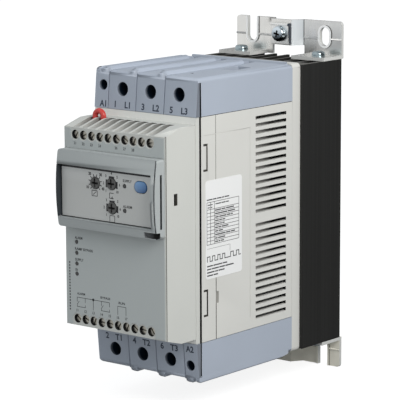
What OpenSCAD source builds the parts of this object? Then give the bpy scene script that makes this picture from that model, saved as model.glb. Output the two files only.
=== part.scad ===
// Three-pole soft starter: a vented housing with screw terminals at both ends,
// a plug-on control module in front and a finned heat sink with two wall brackets behind.
// The panel face is y = 0, the front looks along -y and z is up.
// The origin lies on the panel face, midway between the two lower fixing slots.

/* [Housing] */
// Width of the housing across the poles
body_w = 75; // [74:0.5:82]
// Height of the housing between its plain top and bottom faces
body_h = 172; // [166:1:188]
// Depth of the side walls, from the rear base to the parting gap
shell_d = 85; // [82:1:96]
// Depth of the white rear base
base_d = 7.5; // [6:0.5:10]
// Wall thickness of the mouldings
wall = 2.2; // [1.8:0.1:2.6]
// Radius of the outer corners of the terminal covers
corner_r = 2.6; // [1.6:0.1:3.4]
// Length of a ventilation slot
vent_l = 29; // [20:1:32]
// Height of a ventilation slot
vent_h = 2; // [1:0.1:2.2]
// Distance between ventilation slots
vent_pitch = 4.17; // [3.6:0.01:4.3]

/* [Terminal covers] */
// Height of a terminal cover on the housing's side
block_h = 21.6; // [20:0.2:24]
// How far the front of a cover leans back towards its outer edge
block_lean = 2; // [0.5:0.1:2.6]
// Width of the narrow supply pole
aux_w = 10.1; // [9.6:0.1:10.8]
// Distance between power poles
pole_pitch = 20.7; // [20:0.1:20.9]
// Diameter of a power pole's screwdriver hole
driver_d = 8; // [7:0.1:8.6]
// Diameter of the supply pole's screwdriver hole
aux_driver_d = 6; // [5.8:0.1:6.4]
// Depth of the power screw axis below the outer face
driver_drop = 10; // [9.4:0.1:10.6]
// Width of a power pole's wire entry
entry_w = 9.6; // [8:0.1:10]
// Length of a power pole's wire entry
entry_l = 17; // [15:0.5:18]
// Height of the ridges on the outer faces
ridge_h = 2.3; // [1:0.1:2.6]

/* [Control module] */
// Width of the control module
module_w = 74; // [72:0.5:74]
// Depth of the control module in front of the housing
module_d = 26.3; // [25:0.1:30]
// Height of the module's flat front
module_front_h = 114; // [112:0.5:118]
// Height of the module between its top and bottom faces
module_h = 122; // [120:0.5:124]
// Distance from the housing's middle down to the module's middle
module_drop = 0.65; // [0:0.05:1]
// Number of control terminals along each edge
terminals = 10; // [6:1:10]
// Distance between control terminals
terminal_pitch = 6.11; // [5.9:0.01:6.3]
// Diameter of a control terminal's screw hole
terminal_hole_d = 5.2; // [4.6:0.1:5.3]
// Diameter of the insulated wire link
link_d = 3.3; // [1.6:0.1:3.4]

/* [Front cover] */
// Height of the raised front cover
bezel_h = 44.1; // [42:0.1:46]
// Distance from the module's middle up to the front cover's middle
bezel_rise = 23; // [20:0.5:24]
// Depth of the front cover at its top and bottom edges
bezel_d = 6.3; // [5.8:0.1:8]
// Extra depth of the front cover at its crown
bezel_crown = 2.1; // [1:0.1:3]
// Height of the recessed dial window
window_h = 30.3; // [28:0.1:32]
// Width of a turning dial
dial_d = 6.6; // [6:0.1:7]
// Width of the oval push button
button_w = 9; // [8:0.1:10]
// Height of the oval push button
button_h = 6.4; // [5.6:0.1:7]
// Travel of the push button
button_travel = 1; // [0.6:0.1:1.1]

/* [Heat sink] */
// Depth of the heat sink
sink_d = 40.5; // [34:0.5:60]
// Overhang of the heat sink beyond each side of the housing
sink_over = 2; // [0.5:0.1:4]
// Distance from the heat sink's ends back to the housing's ends
sink_inset = 1; // [0.5:0.1:3]
// Thickness of the heat sink's base plate
sink_base = 9; // [7:0.5:12]
// Number of fins
fins = 9; // [7:1:10]
// Thickness of a fin
fin_t = 2; // [1.5:0.1:2.6]

/* [Brackets] */
// Thickness of the bracket sheet
sheet = 2; // [1.5:0.1:2.5]
// Distance across between the fixing slots
fix_w = 54.5; // [50:0.5:56]
// Distance from the lower fixing line up to the housing's bottom
fix_drop = 6.5; // [5.6:0.1:8]
// Distance from the housing's top up to the upper fixing line
fix_rise = 9.5; // [9:0.1:11]
// Width of the fixing slots
slot_w = 7; // [6:0.1:7.6]
// Height of a bracket's edge past its fixing line
bracket_edge = 11.4; // [10.6:0.1:13]

/* [Fits] */
// Gap between pieces that seat in each other
fit_gap = 0.2; // [0.15:0.05:0.3]
// Gap round pieces that turn or slide
run_gap = 0.3; // [0.2:0.05:0.35]
// Width of the parting gap between front and sides
part_gap = 1.2; // [0.6:0.1:1.2]

/* [Hidden] */
$fn = 48;
eps = 1;

// Planes across the depth
sink_front = -sink_d;
base_front = sink_front - base_d;
shell_front = base_front - shell_d;
plate_d = 3.8;
plate_front = shell_front - plate_d;
module_front = plate_front - module_d;
bezel_front = module_front - bezel_d;

// Levels up the height
body_z = fix_drop;
body_top = body_z + body_h;
body_mid = body_z + body_h / 2;
half_h = body_h / 2;
upper_fix = body_top + fix_rise;
block_edge = half_h - block_h;
inner_w = body_w - 2 * wall;

// Poles of the upper cover, counted from the left
poles = [0:2];
function divider_x(i) = -body_w / 2 + aux_w + i * pole_pitch;
function pole_x(i) = divider_x(i) + pole_pitch / 2;
aux_shift = 0.8;
aux_x = -body_w / 2 + aux_w / 2 + aux_shift;
aux_drop = 8.5;
aux_set = 4;
power_z = half_h - driver_drop;
aux_z = half_h - aux_drop;
rear_lip = 1.2;
cover_rear_r = 3.4;
lip_d = 2;
lip_back = base_front - cover_rear_r / 2;
lip_front = lip_back - lip_d;
ridge_w = 5.2;
ridge_r = 1.7;
ridge_slope_r = 2.9;
nose_sink = 1.1;
ridge_gap = 0.2;
ridge_end = 15.8;
ridge_front = plate_front + block_lean;
ridge_back = base_front - ridge_end;
bank_w = 2.8;
bank_h = 1.5;
bank_r = 1.2;
bank_slope = 8.6;
barrier_t = 1.6;

// Power clamps, behind the screwdriver holes
clamp_set = 40;
clamp_jaw = 3.5;
clamp_wall = 1.6;
clamp_front = shell_front + clamp_set;
clamp_l = entry_l + clamp_jaw;
clamp_back = clamp_front + clamp_l;
clamp_room = 1.6;
clamp_top = half_h - wall - clamp_room;
clamp_base = block_edge + fit_gap;
clamp_screw_d = 5;
clamp_head_d = 6.8;
clamp_head_t = 3;
collar_t = 1.2;
collar_l = 10;
aux_screw_d = 3.5;
aux_head_d = 5;
aux_entry_w = 5;
aux_entry_l = 7;
aux_clamp_l = aux_entry_l + clamp_jaw;

// Conductors and power pieces inside the housing
bar_w = 10;
bar_t = 2;
bar_gap = 0.6;
vent_first = 4.05;
vent_end = 3;
vent_count = floor((block_edge - wall - vent_first - vent_end) / vent_pitch) + 1;
vent_back = 6;
vent_front = base_front - vent_back - vent_l;
sticker_h = 56.2;
sticker_drop = 28.5;
thyristor_gap = 2.7;
thyristor_w = pole_pitch - thyristor_gap;
thyristor_h = 64;
thyristor_d = 20;
thyristor_plate = 4;
thyristor_step = 1;
thyristor_notch_h = 20;
thyristor_notch_d = 3;
board_t = 1.6;
power_board_set = 6;
power_board_front = shell_front + power_board_set;
power_board_back = power_board_front + board_t;
connector_w = 30;
connector_h = 9;
base_floor = 3;
base_screw_d = 4;
base_screw_l = 6;
base_screw_side = 10;
base_screw_end = 30;
base_screw_x = body_w / 2 - base_screw_side;
base_screw_z = half_h - base_screw_end;
base_screw_places = [for (sx = [-1, 1], sz = [-1, 1]) [sx * base_screw_x, body_mid + sz * base_screw_z]];

// Control module
module_mid = body_mid - module_drop;
module_wall = 2;
shoulder_d = 12;
front_half = module_front_h / 2;
module_half = module_h / 2;
module_roof = 0.9;
cavity_half = front_half - module_roof;
groove_w = 4.3;
groove_rise = 0.6;
groove_set = 0.4;
groove_start = 0.1;
groove_stop = 7.4;
groove_end = plate_front - groove_stop;
wire_hole = 3.8;
wire_y = groove_end - wire_hole / 2;
terminal_drop = 4;
control_screw_d = 2.6;
terminal_z = front_half - terminal_drop;
terminal_side = 8.3;
first_terminal = -module_w / 2 + terminal_side;
function terminal_x(i) = first_terminal + i * terminal_pitch;
control_board_set = 5;
control_board_front = plate_front - control_board_set;
control_board_back = control_board_front + board_t;
dial_board_front = module_front + module_wall;
label_t = 0.3;
light_d = 2.2;
light_side = 8.4;
light_x = -module_w / 2 + light_side;
light_drop = [8.5, 14.9, 21.1, 27];

// Raised front cover and what sits in it
bezel_inset = 0.5;
bezel_w = module_w - 2 * bezel_inset;
bezel_mid = module_mid + bezel_rise;
bezel_wall = 1.8;
bezel_r = (bezel_h * bezel_h / 4 + bezel_crown * bezel_crown) / (2 * bezel_crown);
window_drop = 1.5;
window_z = bezel_mid - window_drop;
window_side = 3.6;
window_right = bezel_w / 2 - window_side;
carrier_t = 1.4;
carrier_set = 2.3;
carrier_back = module_front - carrier_set;
carrier_front = carrier_back - carrier_t;
carrier_strip = 0.6;
plate_t = 0.8;
dial_plate_front = carrier_front - plate_t;
dial_places = [[-10.2, 6.25], [1.9, 6.95], [2.2, -6.65]];
dial_lights = [[11.4, 6.65], [11.4, -7.15]];
button_place = [23.2, 7.25];
dial_proud = 0.7;
dial_stem_d = 3;
dial_stem_l = 2.6;
button_proud = 1.1;
button_flange = 0.8;
button_lip = 1;

// Heat sink and brackets
sink_w = body_w + 2 * sink_over;
sink_low = body_z + sink_inset;
sink_top = body_top - sink_inset;
fin_end = 3;
screw_channel_x = 29;
screw_channel_y = -11;
screw_channel_d = 8;
bracket_screw_d = 4;
tab_d = 20;
bracket_tab_w = 24;
bead_d = 1.2;
bead_rise = 0.6;
bracket_r = 2;
rim_w = 1.4;
rim_h = 0.6;
bridge_h = 15.5;
earth_base = 12;
earth_top = 7.5;
earth_step = 7;
earth_rise = 2.9;
earth_z = upper_fix + earth_rise;
earth_screw_d = 5;
earth_plate_w = 13;
earth_plate_t = 1.6;

// Box between two corners
module box(low, high) {
    translate(low)
        cube(high - low);
}

// Round bar along the depth, from y to y + length
module bar_y(x, y, z, d, length) {
    translate([x, y, z])
        rotate([-90, 0, 0])
            cylinder(d = d, h = length);
}

// Outline in x and z, drawn out along the depth from y0 to y1
module draw_y(y0, y1) {
    translate([0, y1, 0])
        rotate([90, 0, 0])
            linear_extrude(y1 - y0)
                children();
}

// Outline in y and z, drawn out across the width from x0 to x1
module draw_x(x0, x1) {
    translate([x0, 0, 0])
        rotate([90, 0, 90])
            linear_extrude(x1 - x0)
                children();
}

// Rectangle with round corners, centred on the origin
module round_rect(w, h, r) {
    square([w - 2 * r, h], center = true);
    square([w, h - 2 * r], center = true);
    for (sx = [-1, 1], sz = [-1, 1])
        translate([sx * (w / 2 - r), sz * (h / 2 - r)])
            circle(r);
}

// Slot outline with round ends, w across and h in all
module stadium(w, h) {
    r = min(w, h) / 2;
    square(w > h ? [w - 2 * r, h] : [w, h - 2 * r], center = true);
    for (s = [-1, 1])
        translate(w > h ? [s * (w / 2 - r), 0] : [0, s * (h / 2 - r)])
            circle(r);
}

// Turns what is drawn for the upper end into the lower end
module at_end(upper) {
    translate([0, 0, body_mid])
        rotate([0, upper ? 0 : 180, 0])
            children();
}

// Black anodised extrusion: base plate in front, fins to the back, screw channels for the brackets
module heat_sink() {
    span = sink_w - fin_end;
    color([0.17, 0.17, 0.17])
        difference() {
            translate([0, 0, sink_low])
                linear_extrude(sink_top - sink_low)
                    difference() {
                        union() {
                            translate([-sink_w / 2, sink_front])
                                square([sink_w, sink_base]);
                            for (i = [0:fins - 1]) {
                                t = (i == 0 || i == fins - 1) ? fin_end : fin_t;
                                x = -span / 2 + i * span / (fins - 1);
                                translate([x - t / 2, sink_front])
                                    square([t, sink_d - sheet]);
                            }
                            for (s = [-1, 1])
                                translate([s * screw_channel_x, screw_channel_y])
                                    circle(d = screw_channel_d);
                        }
                        for (s = [-1, 1])
                            translate([s * screw_channel_x, screw_channel_y])
                                circle(d = bracket_screw_d + 2 * fit_gap);
                    }
            for (p = base_screw_places)
                bar_y(p[0], sink_front - eps, p[1], base_screw_d + 2 * fit_gap, base_screw_l + eps + fit_gap);
        }
}

// Zinc-plated sheet, bent once: a plate on the panel and two tabs on the heat sink's end
module bracket_blank(edge, fix, tab) {
    tab_z = edge > tab ? tab : tab - sheet;
    difference() {
        union() {
            draw_y(-sheet, 0)
                bracket_outline(edge, tab);
            for (s = [-1, 1])
                translate([s * (sink_w / 2 - bracket_tab_w / 2), 0, tab_z])
                    box([-bracket_tab_w / 2, -tab_d, 0], [bracket_tab_w / 2, 0, sheet]);
            draw_x(-sink_w / 2, sink_w / 2)
                translate([-sheet, fix])
                    circle(d = bead_d, $fn = 24);
        }
        for (s = [-1, 1])
            translate([s * screw_channel_x, screw_channel_y, tab_z - eps])
                cylinder(d = bracket_screw_d + 2 * fit_gap, h = sheet + 2 * eps);
    }
}

// Bracket's plate seen from the front, from the tabs' level to its edge, round at the outer corners
module bracket_outline(edge, tab) {
    shoulder = edge > tab ? edge - bracket_r : edge + bracket_r;
    translate([-sink_w / 2, min(tab, shoulder)])
        square([sink_w, abs(shoulder - tab)]);
    translate([-sink_w / 2 + bracket_r, min(edge, shoulder)])
        square([sink_w - 2 * bracket_r, bracket_r]);
    for (s = [-1, 1])
        translate([s * (sink_w / 2 - bracket_r), shoulder])
            circle(bracket_r);
}

// Slot round a fixing line, open towards the edge, drawn out from y0 to y1
module open_slot(x, fix, edge, w, y0, y1) {
    translate([x, 0, fix])
        draw_y(y0, y1) {
            circle(d = w);
            translate([-w / 2, min(0, edge - fix)])
                square([w, abs(edge - fix)]);
        }
}

// Upper bracket: open slot at the left, oval hole at the right, pressed earth bridge between
module upper_bracket() {
    edge = upper_fix + bracket_edge;
    oval_stretch = 4;
    oval_h = slot_w + oval_stretch;
    oval_z = upper_fix + oval_stretch / 2;
    color([0.8, 0.8, 0.78]) {
        difference() {
            union() {
                bracket_blank(edge, upper_fix + bead_rise, sink_top);
                open_slot(-fix_w / 2, upper_fix, edge, slot_w + 2 * rim_w, -sheet - rim_h, 0);
                translate([fix_w / 2, 0, oval_z])
                    draw_y(-sheet - rim_h, 0)
                        stadium(slot_w + 2 * rim_w, oval_h + 2 * rim_w);
            }
            open_slot(-fix_w / 2, upper_fix, edge + eps, slot_w, -sheet - eps, eps);
            translate([fix_w / 2, 0, oval_z])
                draw_y(-sheet - eps, eps)
                    stadium(slot_w, oval_h);
            box([-earth_base, -sheet - eps, sink_top - eps], [earth_base, eps, edge + eps]);
        }
        difference() {
            pressed_bridge(edge - bridge_h);
            bar_y(0, -earth_step - sheet - eps, earth_z, earth_screw_d + 2 * fit_gap, sheet + 2 * eps);
        }
    }
}

// Middle of a bracket's sheet, pressed forward into a bridge; the upper one carries the earth terminal
module pressed_bridge(low) {
    translate([0, 0, low])
        linear_extrude(bridge_h)
            bridge_outline();
}

// Bridge seen from above
module bridge_outline() {
    lap = 1;
    fold = 1.2;
    polygon([
        [-earth_base - lap, 0],
        [-earth_base - lap, -sheet],
        [-earth_base, -sheet],
        [-earth_top, -earth_step - sheet],
        [earth_top, -earth_step - sheet],
        [earth_base, -sheet],
        [earth_base + lap, -sheet],
        [earth_base + lap, 0],
        [earth_base - fold, 0],
        [earth_top - fold, -earth_step],
        [-earth_top + fold, -earth_step],
        [-earth_base + fold, 0]
    ]);
}

// Lower bracket: two slots open at the bottom, plain pressed bridge between
module lower_bracket() {
    edge = -bracket_edge;
    color([0.74, 0.73, 0.69]) {
        difference() {
            union() {
                bracket_blank(edge, -bead_rise, sink_low);
                for (s = [-1, 1])
                    open_slot(s * fix_w / 2, 0, edge, slot_w + 2 * rim_w, -sheet - rim_h, 0);
            }
            for (s = [-1, 1])
                open_slot(s * fix_w / 2, 0, edge - eps, slot_w, -sheet - eps, eps);
            box([-earth_base, -sheet - eps, edge - eps], [earth_base, eps, sink_low + eps]);
        }
        pressed_bridge(edge);
    }
}

// Pan-head screw standing on z = 0, with a cross recess and its shank below
module pan_screw(d, head_d, head_h, length) {
    difference() {
        union() {
            cylinder(d = head_d, h = head_h * 0.6);
            translate([0, 0, head_h * 0.6])
                cylinder(d1 = head_d, d2 = head_d * 0.7, h = head_h * 0.4);
            translate([0, 0, -length])
                cylinder(d = d, h = length);
        }
        for (a = [0, 90])
            rotate(a)
                translate([-head_d * 0.3, -head_d * 0.07, head_h * 0.45])
                    cube([head_d * 0.6, head_d * 0.14, head_h]);
    }
}

// Screws that hold the bracket tabs to the heat sink's ends
module bracket_screws() {
    head_d = 8;
    head_h = 2.8;
    length = 12;
    color([0.72, 0.76, 0.76])
        for (s = [-1, 1]) {
            translate([s * screw_channel_x, screw_channel_y, sink_top + sheet])
                pan_screw(bracket_screw_d, head_d, head_h, length);
            translate([s * screw_channel_x, screw_channel_y, sink_low - sheet])
                rotate([180, 0, 0])
                    pan_screw(bracket_screw_d, head_d, head_h, length);
        }
}

// Square pressure plate of the earth terminal, with turned-in edges
module earth_clamp_plate() {
    w = earth_plate_w;
    t = earth_plate_t;
    edge_d = 1.2;
    front = -earth_step - sheet - t;
    color([0.82, 0.83, 0.82])
        difference() {
            union() {
                box([-w / 2, front, earth_z - w / 2], [w / 2, front + t, earth_z + w / 2]);
                box([-w / 2, front - edge_d, earth_z + w / 2 - t], [w / 2, front, earth_z + w / 2]);
            }
            bar_y(0, front - eps, earth_z, earth_screw_d + 2 * fit_gap, t + 2 * eps);
        }
}

// Cross-recessed earth screw
module earth_screw() {
    head_d = 9.4;
    head_h = 3.6;
    length = 7;
    front = -earth_step - sheet - earth_plate_t;
    color([0.62, 0.66, 0.7])
        translate([0, front, earth_z])
            rotate([90, 0, 0])
                pan_screw(earth_screw_d, head_d, head_h, length);
}

// White base frame that carries the housing and is screwed to the heat sink
module rear_base() {
    window_room = 2;
    window_half = thyristor_h / 2 + window_room;
    color([0.84, 0.84, 0.82])
        difference() {
            translate([0, 0, body_mid])
                draw_y(base_front, sink_front)
                    round_rect(body_w, body_h, corner_r);
            box(
                [-inner_w / 2, base_front - eps, body_z + wall],
                [inner_w / 2, sink_front - base_floor, body_top - wall]
            );
            box(
                [-1.5 * pole_pitch, base_front - eps, body_mid - window_half],
                [1.5 * pole_pitch, sink_front + eps, body_mid + window_half]
            );
            for (p = base_screw_places)
                bar_y(p[0], base_front - eps, p[1], base_screw_d + 2 * fit_gap, base_d + 2 * eps);
        }
}

// Screws through the base frame into the heat sink
module base_screws() {
    head_d = 7.4;
    head_h = 2.6;
    color("silver")
        for (p = base_screw_places)
            translate([p[0], sink_front - base_floor, p[1]])
                rotate([90, 0, 0])
                    pan_screw(base_screw_d, head_d, head_h, base_floor + base_screw_l);
}

// Power semiconductor module, clamped to the heat sink through the base frame
module thyristor_module(i) {
    half_z = thyristor_h / 2;
    color([0.22, 0.22, 0.24])
        translate([(i - 1) * pole_pitch, sink_front, body_mid])
            difference() {
                union() {
                    box([-thyristor_w / 2, -thyristor_plate, -half_z], [thyristor_w / 2, 0, half_z]);
                    translate([0, -thyristor_d, 0])
                        box(
                            [-thyristor_w / 2 + thyristor_step, 0, -half_z + thyristor_step],
                            [thyristor_w / 2 - thyristor_step, thyristor_d, half_z - thyristor_step]
                        );
                }
                translate([0, -thyristor_d, 0])
                    box(
                        [-thyristor_w, -eps, -thyristor_notch_h / 2],
                        [thyristor_w, thyristor_notch_d, thyristor_notch_h / 2]
                    );
            }
}

module thyristor_module_1() {
    thyristor_module(0);
}

module thyristor_module_2() {
    thyristor_module(1);
}

module thyristor_module_3() {
    thyristor_module(2);
}

// Copper strips from the clamps of one end, bent back onto the semiconductor modules
module busbars() {
    top_gap = 2;
    foot_gap = 6;
    color([0.72, 0.45, 0.28])
        for (i = poles)
            translate([pole_x(i), 0, 0]) {
                box(
                    [-bar_w / 2, clamp_back, thyristor_h / 2],
                    [bar_w / 2, clamp_back + bar_t, clamp_top - top_gap]
                );
                box(
                    [-bar_w / 2, clamp_back + bar_t, thyristor_h / 2],
                    [bar_w / 2, sink_front - foot_gap, thyristor_h / 2 + bar_t]
                );
            }
}

module line_busbars() {
    at_end(true)
        busbars();
}

module load_busbars() {
    at_end(false)
        busbars();
}

// Ring transformers round the load strips, standing on the shell's lower wall
module current_transformers() {
    ring_h = 8;
    ring_gap = 2.4;
    bore_gap = 0.8;
    ring_d = pole_pitch - ring_gap;
    bore_d = bar_w + 2 * bore_gap;
    color([0.12, 0.2, 0.45])
        at_end(false)
            for (i = poles)
                translate([pole_x(i), clamp_back + bar_t / 2, block_edge - wall - ring_h])
                    difference() {
                        cylinder(d = ring_d, h = ring_h);
                        translate([0, 0, -eps])
                            cylinder(d = bore_d, h = ring_h + 2 * eps);
                    }
}

// Power board across the front of the housing
module power_board() {
    color([0.1, 0.35, 0.2])
        box(
            [-inner_w / 2 + fit_gap, power_board_front, body_mid - block_edge + wall + fit_gap],
            [inner_w / 2 - fit_gap, power_board_back, body_mid + block_edge - wall - fit_gap]
        );
}

// Bypass relays on the back of the power board
module bypass_relays() {
    relay_w = 16;
    relay_d = 28;
    relay_h = 40;
    color([0.15, 0.15, 0.16])
        for (i = poles)
            translate([(i - 1) * pole_pitch, power_board_back, body_mid])
                box([-relay_w / 2, 0, -relay_h / 2], [relay_w / 2, relay_d, relay_h / 2]);
}

// White vented shell between the terminal covers, open at its front and back
module housing_shell() {
    low = body_mid - block_edge;
    high = body_mid + block_edge;
    color([0.82, 0.82, 0.8])
        difference() {
            box([-body_w / 2, shell_front + part_gap / 2, low], [body_w / 2, base_front, high]);
            box([-inner_w / 2, shell_front - eps, low + wall], [inner_w / 2, base_front + eps, high - wall]);
            for (s = [-1, 1], up = [-1, 1], k = [0:vent_count - 1])
                vent_slot(s, body_mid + up * (vent_first + k * vent_pitch));
            for (s = [-1, 1])
                side_lines(s);
            for (end = [true, false])
                at_end(end)
                    for (i = poles)
                        translate([pole_x(i), clamp_back, block_edge - wall - eps])
                            box(
                                [-bar_w / 2 - bar_gap, -bar_gap, 0],
                                [bar_w / 2 + bar_gap, bar_t + bar_gap, wall + 2 * eps]
                            );
        }
}

// One ventilation slot through a side wall
module vent_slot(side, z) {
    translate([side * (body_w / 2 - wall / 2), vent_front, z - vent_h / 2])
        box([-wall / 2 - eps, 0, 0], [wall / 2 + eps, vent_l, vent_h]);
}

// Moulded lines on a side wall: panel edge, seam, latch outlines and a small pocket
module side_lines(side) {
    line_w = 0.4;
    line_d = 0.3;
    seam_w = 0.6;
    seam_d = 1;
    panel_gap = 5.4;
    panel_foot = 6.9;
    panel_head = 11.2;
    panel_y = vent_front - shell_front - panel_gap;
    panel_low = panel_foot - block_edge;
    panel_high = block_edge - panel_head;
    seam_y = 13.2;
    pocket_l = 2;
    pocket_h = 6.7;
    pocket_foot = 21;
    pocket_d = 0.8;
    latch_w = 1.2;
    latch_d = 1.5;
    latch_l = 3.8;
    latch_h = 15.6;
    latch_y = 2.4;
    latch_head = 15.6;
    latch_foot = 14.7;
    latch_z = [block_edge - latch_head - latch_h, latch_foot - block_edge];
    translate([side * body_w / 2, shell_front, body_mid]) {
        box([-line_d, panel_y, panel_low], [line_d, panel_y + line_w, panel_high]);
        box([-line_d, latch_y, panel_high], [line_d, panel_y + line_w, panel_high + line_w]);
        box([-line_d, seam_y, sticker_h - sticker_drop], [line_d, seam_y + line_w, block_edge]);
        box([-seam_d, seam_y, -block_edge], [seam_d, seam_y + seam_w, -sticker_drop]);
        translate([0, seam_y + seam_w, pocket_foot - block_edge])
            box([-pocket_d, 0, 0], [pocket_d, pocket_l, pocket_h]);
        for (z = latch_z)
            translate([0, latch_y, z])
                difference() {
                    box([-latch_d, 0, 0], [latch_d, latch_l, latch_h]);
                    box(
                        [-latch_d - eps, -eps, latch_w],
                        [latch_d + eps, latch_l - latch_w, latch_h - latch_w]
                    );
                }
    }
}

// Outline of a terminal cover seen from the side, leaning back and round at its outer edges
module block_side() {
    lean_y = plate_front + block_lean * (1 - corner_r / block_h);
    polygon([
        [plate_front, block_edge],
        [lean_y, half_h - corner_r],
        [lean_y + corner_r, half_h],
        [base_front - cover_rear_r, half_h],
        [base_front, half_h - cover_rear_r],
        [base_front, block_edge]
    ]);
    translate([lean_y + corner_r, half_h - corner_r])
        circle(corner_r);
    translate([base_front - cover_rear_r, half_h - cover_rear_r])
        circle(cover_rear_r);
}

// Outline of a terminal cover seen from the front, round at its outer corners
module block_face() {
    translate([0, block_edge + block_h / 2 - corner_r])
        square([body_w, block_h], center = true);
    translate([0, half_h - corner_r / 2])
        square([body_w - 2 * corner_r, corner_r], center = true);
    for (s = [-1, 1])
        translate([s * (body_w / 2 - corner_r), half_h - corner_r])
            circle(corner_r);
}

// Long raised form on the outer face, round along both sides and over its front end, sloping at its back
module raised_bar(left, right, high, left_r, right_r, slope, back) {
    lap = 0.3;
    foot = half_h - wall + lap;
    top = half_h + high;
    nose_r = high + nose_sink;
    nose_y = ridge_front + nose_r;
    intersection() {
        draw_y(ridge_front, back) {
            translate([left, foot])
                square([left_r, top - left_r - foot]);
            translate([left + left_r, foot])
                square([right - right_r - left - left_r, top - foot]);
            translate([right - right_r, foot])
                square([right_r, top - right_r - foot]);
            translate([left + left_r, top - left_r])
                circle(left_r);
            translate([right - right_r, top - right_r])
                circle(right_r);
        }
        draw_x(left - eps, right + eps) {
            translate([ridge_front, foot])
                square([nose_r, half_h - nose_sink - foot]);
            translate([nose_y, top - nose_r])
                circle(nose_r);
            polygon([
                [nose_y, foot],
                [nose_y, top],
                [back - slope, top],
                [back + eps, slope > 0 ? half_h - lap : top],
                [back + eps, foot]
            ]);
        }
    }
}

// Ridge beside one divider, steep towards it
module block_ridge(i) {
    right = divider_x(i) - ridge_gap;
    raised_bar(right - ridge_w, right, ridge_h, ridge_slope_r, ridge_r, 0, ridge_back);
}

// Raised bank along the supply side, over the filled corner
module block_bank() {
    left = -body_w / 2;
    back = base_front - cover_rear_r;
    corner_foot = half_h - corner_r - bank_r;
    raised_bar(left, left + bank_w, bank_h, bank_r, bank_r, bank_slope, back);
    box([left, ridge_front + corner_r, corner_foot], [left + wall, back, half_h]);
}

// Blue-grey cover over one row of power terminals, drawn for the upper end
module terminal_cover() {
    cavity_front = plate_front + block_lean + wall;
    driver_l = cavity_front - plate_front + collar_l + 2 * eps;
    gap_depth = 1.6;
    sunk = 0.5;
    slot_gap = 1;
    slot_end = 0.6;
    slot_l = lip_front - slot_end - ridge_back - slot_gap;
    color([0.6, 0.64, 0.69])
        difference() {
            union() {
                difference() {
                    intersection() {
                        draw_x(-body_w / 2, body_w / 2)
                            block_side();
                        draw_y(plate_front - eps, base_front + eps)
                            block_face();
                    }
                    for (i = [-1:2])
                        pole_room(i, cavity_front);
                }
                block_bank();
                for (i = poles) {
                    block_ridge(i);
                    bar_y(pole_x(i), cavity_front - sunk, power_z, driver_d + 2 * collar_t, collar_l + sunk);
                }
                bar_y(aux_x, cavity_front - sunk, aux_z, aux_driver_d + 2 * collar_t, collar_l + sunk);
                box(
                    [-body_w / 2 + corner_r, lip_front, half_h - sunk],
                    [body_w / 2 - corner_r, lip_back, half_h + rear_lip]
                );
            }
            for (i = poles) {
                bar_y(pole_x(i), plate_front - eps, power_z, driver_d, driver_l);
                translate([pole_x(i), clamp_front, half_h - wall - eps])
                    box([-entry_w / 2, 0, 0], [entry_w / 2, entry_l, wall + ridge_h + 2 * eps]);
                translate([divider_x(i) - ridge_gap, ridge_back + slot_gap, half_h - wall - eps])
                    box([-ridge_w, 0, 0], [0, slot_l, wall + ridge_h + eps]);
                divider_groove(divider_x(i));
                pole_mark(pole_x(i));
            }
            bar_y(aux_x, plate_front - eps, aux_z, aux_driver_d, driver_l);
            translate([aux_x, clamp_front + aux_set, half_h - wall - eps])
                box(
                    [-aux_entry_w / 2, 0, 0],
                    [aux_entry_w / 2, aux_entry_l, wall + ridge_h + 2 * eps]
                );
            for (s = [-1, 1])
                translate([s * body_w / 2, shell_front, 0])
                    box(
                        [-gap_depth, -part_gap / 2, block_edge - eps],
                        [gap_depth, part_gap / 2, half_h - corner_r]
                    );
        }
}

// Room inside the cover for one pole, between the barriers; -1 is the supply pole
module pole_room(i, cavity_front) {
    left = i < 0 ? -inner_w / 2 : divider_x(i) + barrier_t / 2;
    right = i == 2 ? inner_w / 2 : divider_x(i + 1) - barrier_t / 2;
    box([left, cavity_front, block_edge - eps], [right, base_front - wall, half_h - wall]);
}

// Groove that parts two poles on the cover's front
module divider_groove(x) {
    divider_w = 0.7;
    divider_d = 1;
    draw_x(x - divider_w / 2, x + divider_w / 2)
        polygon([
            [plate_front - eps, block_edge - eps],
            [plate_front + divider_d, block_edge - eps],
            [plate_front + divider_d + block_lean, half_h + eps],
            [plate_front - eps, half_h + eps]
        ]);
}

// Small triangle sunk into the outer face over each pole
module pole_mark(x) {
    mark_set = 14;
    mark_side = 4.8;
    mark_d = 0.5;
    mark_w = 2.6;
    mark_l = 2.4;
    translate([x - mark_side, shell_front + mark_set, half_h - mark_d])
        linear_extrude(mark_d + eps)
            polygon([[-mark_w / 2, 0], [mark_w / 2, 0], [0, mark_l]]);
}

module upper_terminal_cover() {
    at_end(true)
        terminal_cover();
}

module lower_terminal_cover() {
    at_end(false)
        terminal_cover();
}

// Box clamp with a wire passage and a thread for the screw in front
module box_clamp(x, front, w, l, passage_w, screw_z, screw_d) {
    difference() {
        box([x - w / 2, front, clamp_base], [x + w / 2, front + l, clamp_top]);
        translate([x, front + clamp_jaw, clamp_base - eps])
            box(
                [-passage_w / 2, 0, 0],
                [passage_w / 2, l - clamp_jaw - clamp_wall, clamp_top - clamp_base + 2 * eps]
            );
        bar_y(x, front - eps, screw_z, screw_d, clamp_jaw + 2 * eps);
    }
}

// Clamp screw with a slotted head, its tip level with the jaw
module clamp_screw(x, front, z, d, head_d) {
    slot_half = 0.6;
    slot_d = 1.2;
    difference() {
        union() {
            bar_y(x, front - clamp_head_t, z, head_d, clamp_head_t);
            bar_y(x, front, z, d, clamp_jaw);
        }
        translate([x, front - clamp_head_t, z])
            box([-head_d, -eps, -slot_half], [head_d, slot_d, slot_half]);
    }
}

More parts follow.
